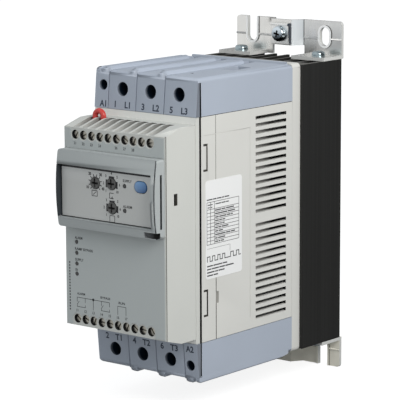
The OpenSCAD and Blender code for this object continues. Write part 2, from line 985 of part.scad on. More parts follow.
// Clamps of the three power poles at one end
module power_clamps() {
    color([0.75, 0.75, 0.72])
        for (i = poles)
            box_clamp(
                pole_x(i), clamp_front, entry_w + 2 * clamp_wall, clamp_l, entry_w,
                power_z, clamp_screw_d + 2 * fit_gap
            );
}

module power_clamp_screws() {
    color("silver")
        for (i = poles)
            clamp_screw(pole_x(i), clamp_front, power_z, clamp_screw_d, clamp_head_d);
}

module line_clamps() {
    at_end(true)
        power_clamps();
}

module load_clamps() {
    at_end(false)
        power_clamps();
}

module line_clamp_screws() {
    at_end(true)
        power_clamp_screws();
}

module load_clamp_screws() {
    at_end(false)
        power_clamp_screws();
}

// Clamps of the two supply poles, one at each end
module supply_clamps() {
    front = clamp_front + aux_set - clamp_jaw;
    color([0.75, 0.75, 0.72])
        for (end = [true, false])
            at_end(end)
                box_clamp(
                    aux_x, front, aux_entry_w + clamp_wall, aux_clamp_l + clamp_wall, aux_entry_w,
                    aux_z, aux_screw_d + 2 * fit_gap
                );
}

module supply_clamp_screws() {
    front = clamp_front + aux_set - clamp_jaw;
    color("silver")
        for (end = [true, false])
            at_end(end)
                clamp_screw(aux_x, front, aux_z, aux_screw_d, aux_head_d);
}

// Plain white sticker on the right side
module rating_label() {
    film = 0.15;
    sticker_l = 33;
    sticker_set = 4;
    sticker_r = 2;
    middle_y = shell_front + sticker_set + sticker_l / 2;
    middle_z = body_mid - sticker_drop + sticker_h / 2;
    color([0.9, 0.9, 0.89])
        translate([body_w / 2, middle_y, middle_z])
            draw_x(0, film)
                round_rect(sticker_l, sticker_h, sticker_r);
}

// Off-white plate that closes the housing's front, with a skirt inside the shell
module front_plate() {
    half = block_edge - fit_gap;
    skirt = 4;
    skirt_t = 1.5;
    seat = 0.2;
    skirt_w = inner_w - 2 * fit_gap;
    skirt_half = block_edge - wall - fit_gap;
    back = shell_front - part_gap / 2;
    color([0.8, 0.8, 0.77])
        translate([0, 0, body_mid])
            difference() {
                union() {
                    box([-module_w / 2, plate_front, -half], [module_w / 2, back, half]);
                    box([-skirt_w / 2, back, -skirt_half], [skirt_w / 2, back + skirt, skirt_half]);
                }
                box(
                    [-skirt_w / 2 + skirt_t, back - seat, -skirt_half + skirt_t],
                    [skirt_w / 2 - skirt_t, back + skirt + eps, skirt_half - skirt_t]
                );
                box(
                    [-connector_w / 2 - run_gap, plate_front - eps, -connector_h / 2 - run_gap],
                    [connector_w / 2 + run_gap, back + eps, connector_h / 2 + run_gap]
                );
            }
}

// Plug between the control board and the power board
module board_connector() {
    color([0.1, 0.1, 0.1])
        translate([0, 0, body_mid])
            box(
                [-connector_w / 2, control_board_back, -connector_h / 2],
                [connector_w / 2, power_board_front, connector_h / 2]
            );
}

// Control board behind the terminals
module control_board() {
    half_w = module_w / 2 - module_wall - fit_gap;
    color([0.1, 0.35, 0.2])
        translate([0, 0, module_mid])
            box(
                [-half_w, control_board_front, -cavity_half + fit_gap],
                [half_w, control_board_back, cavity_half - fit_gap]
            );
}

// Pin header between the dial board and the control board
module dial_board_header() {
    header_w = 24;
    header_h = 5;
    header_drop = 14;
    color([0.1, 0.1, 0.1])
        translate([0, 0, bezel_mid])
            box(
                [-header_w / 2, dial_board_front + board_t, -header_drop],
                [header_w / 2, control_board_front, header_h - header_drop]
            );
}

// Module's outline seen from the side, about its middle height
module module_side() {
    polygon([
        [plate_front, -module_half],
        [plate_front, module_half],
        [plate_front - shoulder_d, module_half],
        [module_front, front_half],
        [module_front, -front_half],
        [plate_front - shoulder_d, -module_half]
    ]);
}

// Screw holes, wire grooves and wire holes of one terminal row, drawn for the upper edge
module terminal_cuts() {
    for (i = [0:terminals - 1]) {
        x = terminal_x(i);
        bar_y(x, module_front - eps, terminal_z, terminal_hole_d, module_wall + 2 * eps);
        draw_x(x - groove_w / 2, x + groove_w / 2)
            polygon([
                [module_front + groove_set, front_half + groove_start],
                [groove_end, front_half + groove_rise],
                [groove_end, module_half + eps],
                [module_front + groove_set, module_half + eps]
            ]);
        box(
            [x - wire_hole / 2, groove_end - wire_hole, cavity_half - eps],
            [x + wire_hole / 2, groove_end, front_half + groove_rise + eps]
        );
    }
}

// Off-white case of the control module, open at its back
module module_housing() {
    slot_l = 3;
    slot_h = 6.6;
    slot_set = 7.3;
    slot_drop = 4.9;
    slot_rise = bezel_rise - slot_drop;
    seam_set = 0.4;
    seam_w = 0.6;
    seam_d = 0.7;
    opening_lip = bezel_wall + 1;
    opening_w = bezel_w - 2 * opening_lip;
    opening_h = bezel_h - 2 * opening_lip;
    color([0.8, 0.8, 0.77])
        translate([0, 0, module_mid])
            difference() {
                draw_x(-module_w / 2, module_w / 2)
                    module_side();
                box(
                    [-module_w / 2 + module_wall, module_front + module_wall, -cavity_half],
                    [module_w / 2 - module_wall, plate_front + eps, cavity_half]
                );
                terminal_cuts();
                mirror([0, 0, 1])
                    terminal_cuts();
                translate([0, 0, bezel_rise])
                    box(
                        [-opening_w / 2, module_front - eps, -opening_h / 2],
                        [opening_w / 2, module_front + module_wall + eps, opening_h / 2]
                    );
                for (drop = light_drop)
                    bar_y(light_x, module_front - eps, -drop, light_d + 2 * fit_gap, module_wall + 2 * eps);
                for (s = [-1, 1])
                    translate([s * module_w / 2, module_front, 0]) {
                        translate([0, slot_set, slot_rise])
                            box([-module_wall - eps, 0, 0], [module_wall + eps, slot_l, slot_h]);
                        translate([0, seam_set, -front_half - eps])
                            box([-seam_d, 0, 0], [seam_d, seam_w, module_front_h + 2 * eps]);
                    }
            }
}

// Cage clamps of one row of control terminals, drawn for the upper edge
module control_clamps() {
    cage_gap = 1.1;
    cage_drop = 3;
    cage_set = 9;
    cage_wall = 1.6;
    w = terminal_pitch - cage_gap;
    low = terminal_z - cage_drop;
    high = cavity_half - fit_gap;
    front = module_front + cage_set;
    back = groove_end + cage_wall;
    color([0.75, 0.75, 0.72])
        for (i = [0:terminals - 1])
            translate([terminal_x(i), 0, 0])
                difference() {
                    box([-w / 2, front, low], [w / 2, back, high]);
                    box(
                        [-wire_hole / 2, groove_end - wire_hole, low - eps],
                        [wire_hole / 2, groove_end, high + eps]
                    );
                    bar_y(0, front - eps, terminal_z, control_screw_d + 2 * fit_gap, groove_end - front);
                }
}

// Slotted screws of one row of control terminals, drawn for the upper edge
module control_screws() {
    head_set = 1.4;
    head_front = module_front + head_set;
    head_t = 1.8;
    shank_l = groove_end - wire_hole - head_front - head_t;
    slot_half = 0.4;
    slot_d = 0.8;
    slot_turn = 35;
    color([0.45, 0.44, 0.4])
        for (i = [0:terminals - 1])
            translate([terminal_x(i), 0, 0])
                difference() {
                    union() {
                        bar_y(0, head_front, terminal_z, terminal_hole_d - 2 * fit_gap, head_t);
                        bar_y(0, head_front + head_t, terminal_z, control_screw_d, shank_l);
                    }
                    translate([0, head_front, terminal_z])
                        rotate([0, slot_turn, 0])
                            box([-terminal_hole_d, -eps, -slot_half], [terminal_hole_d, slot_d, slot_half]);
                }
}

module upper_control_clamps() {
    translate([0, 0, module_mid])
        control_clamps();
}

module lower_control_clamps() {
    translate([0, 0, module_mid])
        mirror([0, 0, 1])
            control_clamps();
}

module upper_control_screws() {
    translate([0, 0, module_mid])
        control_screws();
}

module lower_control_screws() {
    translate([0, 0, module_mid])
        mirror([0, 0, 1])
            control_screws();
}

// Red insulated wire bridging the first two upper terminals
module wire_link() {
    bend_r = terminal_pitch / 2;
    end_drop = 1.5;
    loop_rise = 0.6;
    low = terminal_z - end_drop;
    high = module_half + loop_rise;
    color([0.85, 0.2, 0.18])
        translate([terminal_x(0) + bend_r, wire_y, module_mid]) {
            for (s = [-1, 1])
                translate([s * bend_r, 0, low])
                    cylinder(d = link_d, h = high - low);
            translate([0, 0, high])
                rotate([90, 0, 0])
                    rotate_extrude(angle = 180)
                        translate([bend_r, 0])
                            circle(d = link_d);
        }
}

// Outline of a grey front label, drawn for the upper edge: from the front cover to the module's edge,
// left open along the terminal row and scalloped round the screws
module label_outline(low, open_z) {
    margin = 0.6;
    ring_gap = 0.7;
    ring = terminal_hole_d + 2 * ring_gap;
    last = terminal_x(terminals - 1);
    difference() {
        translate([-module_w / 2 + margin, low])
            square([module_w - 2 * margin, front_half - margin - low]);
        translate([first_terminal, open_z])
            square([last - first_terminal, front_half - open_z]);
        for (i = [0:terminals - 1])
            translate([terminal_x(i), terminal_z])
                circle(d = ring);
        for (x = [first_terminal, last])
            translate([x - ring / 2, terminal_z])
                square([ring, front_half - terminal_z]);
    }
}

// Grey film on the shoulder above the front cover
module upper_front_label() {
    open_drop = 2;
    color([0.56, 0.58, 0.59])
        translate([0, 0, module_mid])
            draw_y(module_front - label_t, module_front)
                label_outline(bezel_rise + bezel_h / 2 + fit_gap, terminal_z - open_drop);
}

// Grey film below the front cover, holed for the status lights
module lower_front_label() {
    color([0.57, 0.6, 0.6])
        translate([0, 0, module_mid])
            draw_y(module_front - label_t, module_front)
                difference() {
                    mirror([0, 1])
                        label_outline(bezel_h / 2 + fit_gap - bezel_rise, terminal_z);
                    for (drop = light_drop)
                        translate([light_x, -drop])
                            circle(d = light_d + 2 * fit_gap);
                }
}

// Light pipes of the four status lights
module status_lights() {
    front = module_front - label_t;
    color([0.35, 0.37, 0.36])
        for (drop = light_drop)
            bar_y(light_x, front, module_mid - drop, light_d, control_board_front - front);
}

// Board behind the dials
module dial_board() {
    side_gap = 0.5;
    end_gap = 1;
    half_w = bezel_w / 2 - bezel_wall - side_gap;
    half_z = bezel_h / 2 - end_gap;
    color([0.1, 0.35, 0.2])
        translate([0, 0, bezel_mid])
            box([-half_w, dial_board_front, -half_z], [half_w, dial_board_front + board_t, half_z]);
}

// Rotary switches under the dials, each with a socket for the dial's stem
module dial_switches() {
    half = 4.6;
    front = carrier_back + fit_gap;
    color([0.15, 0.15, 0.15])
        for (p = dial_places)
            translate([p[0], 0, window_z + p[1]])
                difference() {
                    box([-half, front, -half], [half, dial_board_front, half]);
                    bar_y(0, front - eps, 0, dial_stem_d + 2 * run_gap, dial_stem_l + eps);
                }
}

// Push switch on the dial board, under the button
module reset_switch() {
    half = 3;
    case_d = 1.2;
    plunger_d = 3;
    slack = 0.1;
    tip = carrier_back + fit_gap + button_flange + button_travel + slack;
    color([0.2, 0.2, 0.2])
        translate([button_place[0], 0, window_z + button_place[1]]) {
            box([-half, dial_board_front - case_d, -half], [half, dial_board_front, half]);
            bar_y(0, tip, 0, plunger_d, dial_board_front - case_d - tip);
        }
}

// Raised grey cover with a crowned front, an open-ended channel for the dials and a pry notch
module front_cover() {
    half_w = bezel_w / 2;
    half_z = bezel_h / 2;
    crown = bezel_front - bezel_crown;
    notch_l = 9;
    notch_h = 3.2;
    notch_d = 4.4;
    notch_rise = 0.5;
    edge_r = 1.6;
    cap_side = 0.5;
    cap_seam = 0.5;
    cap_d = 0.3;
    color([0.56, 0.58, 0.59])
        translate([0, 0, bezel_mid])
            difference() {
                intersection() {
                    draw_y(crown - eps, module_front)
                        round_rect(bezel_w, bezel_h, edge_r);
                    translate([-half_w - eps, crown + bezel_r, 0])
                        rotate([0, 90, 0])
                            cylinder(r = bezel_r, h = bezel_w + 2 * eps, $fn = 96);
                }
                box(
                    [-half_w + bezel_wall, carrier_back - fit_gap, -half_z + bezel_wall],
                    [half_w - bezel_wall, module_front + eps, half_z - bezel_wall]
                );
                translate([0, 0, -window_drop]) {
                    box(
                        [-half_w - eps, crown - eps, -window_h / 2],
                        [window_right, carrier_back, window_h / 2]
                    );
                    box(
                        [-half_w - eps, carrier_front - fit_gap, -window_h / 2],
                        [half_w + eps, carrier_back, window_h / 2]
                    );
                }
                translate([half_w, crown, -half_z + notch_rise])
                    box([-notch_l, -eps, 0], [eps, notch_d, notch_h]);
                box(
                    [half_w - cap_side - cap_seam, crown - eps, -half_z - eps],
                    [half_w - cap_side, bezel_front + cap_d, half_z + eps]
                );
            }
}

// Black carrier across the channel, with a raised end at the left
module dial_carrier() {
    half_w = bezel_w / 2;
    half_z = window_h / 2 - fit_gap;
    crown = bezel_front - bezel_crown;
    color([0.12, 0.12, 0.13])
        translate([0, 0, window_z])
            difference() {
                union() {
                    box([-half_w, carrier_front, -half_z], [half_w, carrier_back - fit_gap, half_z]);
                    intersection() {
                        box([-half_w, crown, -half_z], [-half_w + carrier_strip, carrier_front, half_z]);
                        translate([-half_w - eps, crown + bezel_r, window_drop])
                            rotate([0, 90, 0])
                                cylinder(r = bezel_r, h = carrier_strip + 2 * eps, $fn = 96);
                    }
                }
                for (p = dial_places)
                    bar_y(p[0], carrier_front - eps, p[1], dial_d + 2 * run_gap, carrier_t + 2 * eps);
                for (p = dial_lights)
                    bar_y(p[0], carrier_front - eps, p[1], light_d + 2 * fit_gap, carrier_t + 2 * eps);
                button_hole(carrier_front - eps, carrier_back + eps);
            }
}

// Oval hole that the push button slides in
module button_hole(y0, y1) {
    draw_y(y0, y1)
        translate(button_place)
            stadium(button_w + 2 * run_gap, button_h + 2 * run_gap);
}

// Printed dial plate on the carrier
module dial_plate() {
    left = -bezel_w / 2 + carrier_strip + fit_gap;
    color([0.61, 0.62, 0.61])
        translate([0, 0, window_z])
            difference() {
                box(
                    [left, dial_plate_front, -window_h / 2 + fit_gap],
                    [window_right - fit_gap, carrier_front, window_h / 2 - fit_gap]
                );
                for (p = dial_places)
                    bar_y(p[0], dial_plate_front - eps, p[1], dial_d + 2 * run_gap, plate_t + 2 * eps);
                for (p = dial_lights)
                    bar_y(p[0], dial_plate_front - eps, p[1], light_d + 2 * fit_gap, plate_t + 2 * eps);
                button_hole(dial_plate_front - eps, carrier_front + eps);
            }
}

// Two lights beside the dials
module dial_lights_pair() {
    light_proud = 0.2;
    front = dial_plate_front - light_proud;
    color([0.3, 0.3, 0.3])
        for (p = dial_lights)
            bar_y(p[0], front, window_z + p[1], light_d, dial_board_front - front);
}

// Turning dial with an arrow-shaped slot and a stem in its switch
module dial(p) {
    front = dial_plate_front - dial_proud;
    back = carrier_back - fit_gap;
    slot_half = 0.6;
    slot_d = 0.9;
    tip_edge = 0.6;
    arm_edge = 0.8;
    tip = dial_d / 2 - tip_edge;
    arm = dial_d / 2 - arm_edge;
    color([0.16, 0.16, 0.17])
        translate([p[0], 0, window_z + p[1]])
            difference() {
                union() {
                    bar_y(0, front, 0, dial_d, back - front);
                    bar_y(0, back, 0, dial_stem_d, dial_stem_l);
                }
                translate([0, front, 0]) {
                    box([-slot_half, -eps, -arm], [slot_half, slot_d, tip]);
                    box([-arm, -eps, -slot_half], [arm, slot_d, slot_half]);
                }
            }
}

module ramp_up_dial() {
    dial(dial_places[0]);
}

module ramp_down_dial() {
    dial(dial_places[1]);
}

module load_current_dial() {
    dial(dial_places[2]);
}

// Blue oval push button, kept in by a flange behind the carrier
module reset_button() {
    front = dial_plate_front - button_proud;
    flange_front = carrier_back + fit_gap;
    color([0.24, 0.4, 0.65])
        translate([0, 0, window_z]) {
            draw_y(front, flange_front)
                translate(button_place)
                    stadium(button_w, button_h);
            draw_y(flange_front, flange_front + button_flange)
                translate(button_place)
                    stadium(button_w + 2 * button_lip, button_h + 2 * button_lip);
        }
}

heat_sink();
upper_bracket();
lower_bracket();
bracket_screws();
earth_clamp_plate();
earth_screw();
rear_base();
base_screws();
thyristor_module_1();
thyristor_module_2();
thyristor_module_3();
line_busbars();
load_busbars();
current_transformers();
power_board();
bypass_relays();
housing_shell();
upper_terminal_cover();
lower_terminal_cover();
line_clamps();
load_clamps();
line_clamp_screws();
load_clamp_screws();
supply_clamps();
supply_clamp_screws();
rating_label();
front_plate();
board_connector();
control_board();
dial_board_header();
module_housing();
upper_control_clamps();
lower_control_clamps();
upper_control_screws();
lower_control_screws();
wire_link();
upper_front_label();
lower_front_label();
status_lights();
dial_board();
dial_switches();
reset_switch();
front_cover();
dial_carrier();
dial_plate();
dial_lights_pair();
ramp_up_dial();
ramp_down_dial();
load_current_dial();
reset_button();
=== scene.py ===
"""Looks of a three-pole soft starter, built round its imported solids, in metres.

The sections follow the starter as it is put together: heat sink and brackets, rear base, power pieces,
housing and terminal covers, control module, front cover, dials and button.
"""
import math

import bmesh
import bpy
from mathutils import Matrix, Vector


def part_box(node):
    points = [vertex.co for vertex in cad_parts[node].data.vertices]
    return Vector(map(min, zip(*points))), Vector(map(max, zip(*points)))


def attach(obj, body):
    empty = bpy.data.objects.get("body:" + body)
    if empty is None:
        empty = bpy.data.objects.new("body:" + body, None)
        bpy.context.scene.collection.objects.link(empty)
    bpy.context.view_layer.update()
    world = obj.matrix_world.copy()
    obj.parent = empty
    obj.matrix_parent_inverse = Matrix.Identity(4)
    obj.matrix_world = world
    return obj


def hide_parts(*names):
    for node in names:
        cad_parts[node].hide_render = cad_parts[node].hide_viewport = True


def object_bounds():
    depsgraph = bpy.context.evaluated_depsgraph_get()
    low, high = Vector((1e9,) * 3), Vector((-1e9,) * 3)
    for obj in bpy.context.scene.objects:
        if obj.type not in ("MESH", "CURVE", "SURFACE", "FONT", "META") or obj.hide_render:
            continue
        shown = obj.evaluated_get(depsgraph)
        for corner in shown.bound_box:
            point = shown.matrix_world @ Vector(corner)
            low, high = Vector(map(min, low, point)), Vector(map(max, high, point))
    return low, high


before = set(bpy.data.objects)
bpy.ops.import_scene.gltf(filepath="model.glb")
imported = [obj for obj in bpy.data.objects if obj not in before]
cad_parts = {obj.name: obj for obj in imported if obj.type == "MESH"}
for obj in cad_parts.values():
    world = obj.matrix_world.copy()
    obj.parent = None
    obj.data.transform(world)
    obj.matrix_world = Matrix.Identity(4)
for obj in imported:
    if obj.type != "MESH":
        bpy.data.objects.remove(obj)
cad_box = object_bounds()

# Camera: a long lens, turned to the right of the front and a little above the middle.
# It is set to the photograph's viewing angle and framing. Sizes are written in millimetres from here on.
mm = 0.001
camera_turn = math.radians(39.09)
camera_rise = math.radians(10.04)
camera_roll = math.radians(-0.23)
camera_aim = Vector((2.0, -90.0, 100.4)) * mm
camera_distance = 1321.4 * mm
camera_lens = 204.4
camera_sensor = 36


def add_object(name, data):
    """A new object in the scene, for a camera, a lamp, a mesh or words."""
    placed = bpy.data.objects.new(name, data)
    bpy.context.scene.collection.objects.link(placed)
    return placed


camera_data = bpy.data.cameras.new("camera")
camera_data.lens = camera_lens
camera_data.sensor_width = camera_sensor
camera = add_object("camera", camera_data)
camera_facing = (
    Matrix.Rotation(camera_turn, 4, "Z")
    @ Matrix.Rotation(math.pi / 2 - camera_rise, 4, "X")
    @ Matrix.Rotation(camera_roll, 4, "Z")
)
camera_place = camera_aim + camera_facing.to_3x3() @ Vector((0, 0, camera_distance))
camera.matrix_world = Matrix.Translation(camera_place) @ camera_facing
bpy.context.scene.camera = camera

# Studio: one large soft lamp at the right and above, even light from all round, and a pale floor.
# The camera sees floor and surroundings as white, mirrors see a room that dims to the back right.
bpy.context.scene.view_settings.view_transform = "Standard"
ambient_level = 0.672
ambient_colour = (0.952, 1.0, 1.035, 1)
lamp_power = 3.25
lamp_colour = (1.0, 0.985, 0.96)
lamp_size = 0.42
lamp_distance = 0.7
lamp_direction = Vector((0.80, -0.25, 0.545)).normalized()
lamp_data = bpy.data.lights.new("key_lamp", "AREA")
lamp_data.energy = lamp_power
lamp_data.color = lamp_colour
lamp_data.shape = "DISK"
lamp_data.size = lamp_size
lamp = add_object("key_lamp", lamp_data)
lamp_aim = Vector((0, -85, 95)) * mm
lamp.location = lamp_aim + lamp_direction * lamp_distance
lamp.rotation_euler = lamp_direction.to_track_quat("Z", "Y").to_euler()


def add_node(tree, kind, inputs=None, **settings):
    """A new node; an input is linked where its value is another node's output, and set otherwise."""
    node = tree.nodes.new(kind)
    for name, value in settings.items():
        setattr(node, name, value)
    for socket, value in (inputs or {}).items():
        if isinstance(value, bpy.types.NodeSocket):
            tree.links.new(value, node.inputs[socket])
        else:
            node.inputs[socket].default_value = value
    return node


def ranged(tree, value, start, end, first, second):
    """A number that goes from first to second while the value goes from start to end."""
    ends = {"From Min": start, "From Max": end, "To Min": first, "To Max": second}
    return add_node(tree, "ShaderNodeMapRange", {"Value": value, **ends}).outputs["Result"]


def mirror_brightness(tree, coordinates, brightest_at, dimmest_at, dimmest, brightest=0.95):
    """How bright the room looks in mirrors, from the front left to the back right."""
    place = add_node(tree, "ShaderNodeTexCoord")
    split = add_node(tree, "ShaderNodeSeparateXYZ", {0: place.outputs[coordinates]})
    across = add_node(tree, "ShaderNodeMath", {0: split.outputs["X"], 1: split.outputs["Y"]})
    return ranged(tree, across.outputs[0], brightest_at, dimmest_at, brightest, dimmest)


def by_ray(tree, others, mirrors, direct):
    """One shader for mirror rays, one for camera and see-through rays, one for the rest."""
    ray = add_node(tree, "ShaderNodeLightPath").outputs
    seen = add_node(
        tree, "ShaderNodeMath", {0: ray["Is Camera Ray"], 1: ray["Is Transmission Ray"]}, operation="MAXIMUM"
    )
    first = add_node(
        tree, "ShaderNodeMixShader", {0: ray["Is Glossy Ray"], 1: others.outputs[0], 2: mirrors.outputs[0]}
    )
    second = add_node(
        tree, "ShaderNodeMixShader", {0: seen.outputs[0], 1: first.outputs[0], 2: direct.outputs[0]}
    )
    return second.outputs[0]


world = bpy.data.worlds.new("studio")
bpy.context.scene.world = world
world.use_nodes = True
sky = world.node_tree
sky_light = sky.nodes["Background"]
sky_light.inputs["Color"].default_value = ambient_colour
sky_light.inputs["Strength"].default_value = ambient_level
sky_dimming = mirror_brightness(sky, "Generated", brightest_at=-0.7, dimmest_at=0.5, dimmest=0.16)
sky_mirror = add_node(sky, "ShaderNodeBackground", {"Color": (1, 1, 1, 1), "Strength": sky_dimming})
sky_white = add_node(sky, "ShaderNodeBackground", {"Color": (1, 1, 1, 1)})
sky.links.new(by_ray(sky, sky_light, sky_mirror, sky_white), sky.nodes["World Output"].inputs["Surface"])

floor_gap = 0.3 * mm
floor_half = 8.0
floor_glow = 0.86
floor_share = (0.3, 0.3, 0.3, 1)
floor_bounce = (0.35, 0.35, 0.35, 1)
floor_z = cad_box[0].z - floor_gap
floor_mesh = bpy.data.meshes.new("floor")
floor_mesh.from_pydata(
    [(x * floor_half, y * floor_half, floor_z) for x, y in ((-1, -1), (1, -1), (1, 1), (-1, 1))],
    [],
    [(0, 1, 2, 3)],
)
floor = add_object("floor", floor_mesh)
floor_paint = bpy.data.materials.new("pale_floor")
floor_paint.use_nodes = True
paint = floor_paint.node_tree
paint.nodes.remove(paint.nodes["Principled BSDF"])
paint_dimming = mirror_brightness(paint, "Object", brightest_at=-0.5, dimmest_at=0.1, dimmest=0.06)
paint_glow = add_node(paint, "ShaderNodeEmission", {"Strength": floor_glow})
paint_shadow = add_node(paint, "ShaderNodeBsdfDiffuse", {"Color": floor_share})
paint_seen = add_node(paint, "ShaderNodeAddShader", {0: paint_glow.outputs[0], 1: paint_shadow.outputs[0]})
paint_mirror = add_node(paint, "ShaderNodeEmission", {"Strength": paint_dimming})
paint_bounce = add_node(paint, "ShaderNodeBsdfDiffuse", {"Color": floor_bounce})
floor_look = by_ray(paint, paint_bounce, paint_mirror, paint_seen)
paint.links.new(floor_look, paint.nodes["Material Output"].inputs["Surface"])
floor_mesh.materials.append(floor_paint)


# Heat sink: a black anodised aluminium extrusion, sawn to length.
# Fine draw lines run up its faces, and the sawn ends have broken edges.
def solid_copy(node):
    """The node's solid as one joined mesh with whole flat faces."""
    shape = bmesh.new()
    shape.from_mesh(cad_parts[node].data)
    bmesh.ops.remove_doubles(shape, verts=shape.verts, dist=0.002 * mm)
    bmesh.ops.dissolve_limit(
        shape, angle_limit=math.radians(0.4), verts=shape.verts, edges=shape.edges,
        use_dissolve_boundaries=False,
    )
    return shape


def level(edge, axis, value, slack=0.03 * mm):
    """Whether both ends of an edge lie in the plane axis = value."""
    return all(abs(corner.co[axis] - value) < slack for corner in edge.verts)


def round_edges(shape, width, steps, wanted):
    """Rounds the outer sharp edges that wanted() picks."""
    sharp = math.radians(25)
    edges = [
        edge
        for edge in shape.edges
        if len(edge.link_faces) == 2 and edge.is_convex and edge.calc_face_angle() > sharp and wanted(edge)
    ]
    bmesh.ops.bevel(
        shape, geom=edges, offset=width, offset_type="OFFSET", segments=steps, profile=0.5,
        affect="EDGES", clamp_overlap=True,
    )


def add_piece(name, mesh, material, body, nodes=()):
    """Puts a finished mesh into the scene as a piece of one body."""
    piece = add_object(name, mesh)
    mesh.materials.clear()
    mesh.materials.append(material)
    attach(piece, body)
    if nodes:
        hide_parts(*nodes)
    return piece


def plain_mesh(name, shape):
    """The shape as a mesh; the shape itself is given up."""
    mesh = bpy.data.meshes.new(name)
    shape.to_mesh(mesh)
    shape.free()
    return mesh


def smoothed(mesh, angle):
    """The mesh, smooth up to the angle and with its flat faces kept flat."""
    mesh.polygons.foreach_set("use_smooth", [True] * len(mesh.polygons))
    mesh.set_sharp_from_angle(angle=math.radians(angle))
    return mesh


def shape_piece(name, shape, material, nodes=(), body="starter", angle=40):
    """A shape as a smooth piece."""
    return add_piece(name, smoothed(plain_mesh(name, shape), angle), material, body, nodes)


def even_shading(piece):
    """Leans the normals towards the large faces, so that rounded edges shade cleanly."""
    weigh = piece.modifiers.new("even_shading", "WEIGHTED_NORMAL")
    weigh.keep_sharp = True
    weigh.weight = 60
    return piece


def solid_piece(name, node, material, rounding, body="starter"):
    """A piece in a solid's own form, with each (width, steps, wanted) set of its edges rounded."""
    shape = solid_copy(node)
    for width, steps, wanted in rounding:
        round_edges(shape, width, steps, wanted)
    return even_shading(shape_piece(name, shape, material, [node], body))


def plain_finish(name, metallic, specular):
    """A new material with its shader's plain numbers set."""
    material = bpy.data.materials.new(name)
    material.use_nodes = True
    shader = material.node_tree.nodes["Principled BSDF"]
    shader.inputs["Metallic"].default_value = metallic
    shader.inputs["Specular IOR Level"].default_value = specular
    return material, material.node_tree, shader


def surface_noise(tree, scale, detail=2.0, stretch=(1, 1, 1)):
    """Noise over the piece's own coordinates, scale patches to the metre."""
    place = add_node(tree, "ShaderNodeTexCoord")
    lean = add_node(tree, "ShaderNodeMapping", {"Vector": place.outputs["Object"], "Scale": stretch})
    grain = {"Vector": lean.outputs["Vector"], "Scale": scale, "Detail": detail}
    return add_node(tree, "ShaderNodeTexNoise", grain).outputs["Fac"]


def coat(tree, shader, tone, colours, gloss, roughness):
    """Gives the shader a colour between two with the tone, and a roughness between two with the gloss."""
    dark, light = ((*colour, 1) for colour in colours)
    mix = add_node(tree, "ShaderNodeMix", {"Factor": tone, "A": dark, "B": light}, data_type="RGBA")
    tree.links.new(mix.outputs["Result"], shader.inputs["Base Color"])
    tree.links.new(ranged(tree, gloss, 0.25, 0.75, *roughness), shader.inputs["Roughness"])


def relief(tree, shader, amount, depth, strength=0.5):
    """Fine unevenness of the surface, depth in metres."""
    bump = add_node(tree, "ShaderNodeBump", {"Strength": strength, "Distance": depth, "Height": amount})
    tree.links.new(bump.outputs["Normal"], shader.inputs["Normal"])


def shaded(colour, factor):
    """The colour made lighter or darker."""
    return tuple(min(1.0, part * factor) for part in colour)


def tones(colour, darker, lighter):
    """A darker and a lighter tone of the colour."""
    return shaded(colour, darker), shaded(colour, lighter)


def anodised(name, dark, light, stretch):
    """Black anodised aluminium with fine lines along one way."""
    material, tree, shader = plain_finish(name, 0.0, 0.22)
    lines = surface_noise(tree, 900, 3, stretch)
    cloud = surface_noise(tree, 24)
    coat(tree, shader, lines, (dark, light), cloud, (0.42, 0.56))
    relief(tree, shader, lines, 0.02 * mm)
    return material


sink_low, sink_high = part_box("heat_sink")
sawn_edge = 0.35 * mm
drawn_black = anodised("black_anodising", (0.0125, 0.0125, 0.012), (0.029, 0.029, 0.028), (1, 1, 0.004))
sawn_painted_highlight = anodised("sawn_anodising_painted_highlight", (0.05, 0.047, 0.042), (0.11, 0.105, 0.095), (1, 0.02, 1))
sink = solid_piece(
    "finned_heat_sink", "heat_sink", drawn_black,
    [(sawn_edge, 2, lambda edge: level(edge, 2, sink_low.z) or level(edge, 2, sink_high.z))],
)


def finish_faces(piece, material, wanted):
    """Gives the faces that wanted() picks a finish of their own."""
    piece.data.materials.append(material)
    place = len(piece.data.materials) - 1
    for face in piece.data.polygons:
        if wanted(face):
            face.material_index = place


# The sawn ends carry lines of their own and a lighter colour than the drawn faces, which is painted
# highlight.
finish_faces(sink, sawn_painted_highlight, lambda face: abs(face.normal.z) > 0.9)


# Brackets: sheet steel, pressed and bent, then zinc plated bright.
# The lower one is duller. Rims are pressed up round the fixing slots and a bead runs along the plate.
def zinc(name, colour, rough, metallic=1.0):
    """Zinc plating over rolled sheet: faint rolling lines and cloudy patches."""
    material, tree, shader = plain_finish(name, metallic, 0.5)
    rolled = surface_noise(tree, 260, 3, (1, 1, 0.06))
    cloud = surface_noise(tree, 120, 4)
    coat(tree, shader, cloud, tones(colour, 0.9, 1.06), rolled, (rough - 0.05, rough + 0.07))
    relief(tree, shader, rolled, 0.01 * mm, 0.4)
    return material


rightwards = (1, 0, 0)
backwards = (0, 1, 0)
upwards = (0, 0, 1)


def fading(name, way, start, end, first, second, rough=0.55, metallic=0.0, specular=0.15):
    """A finish that goes from the first colour to the second along one direction."""
    material, tree, shader = plain_finish(name, metallic, specular)
    place = add_node(tree, "ShaderNodeTexCoord")
    along = add_node(
        tree, "ShaderNodeVectorMath", {0: place.outputs["Object"], 1: way}, operation="DOT_PRODUCT"
    )
    tone = ranged(tree, along.outputs["Value"], start, end, 0, 1)
    coat(tree, shader, tone, (first, second), surface_noise(tree, 900), (rough - 0.05, rough + 0.05))
    return material


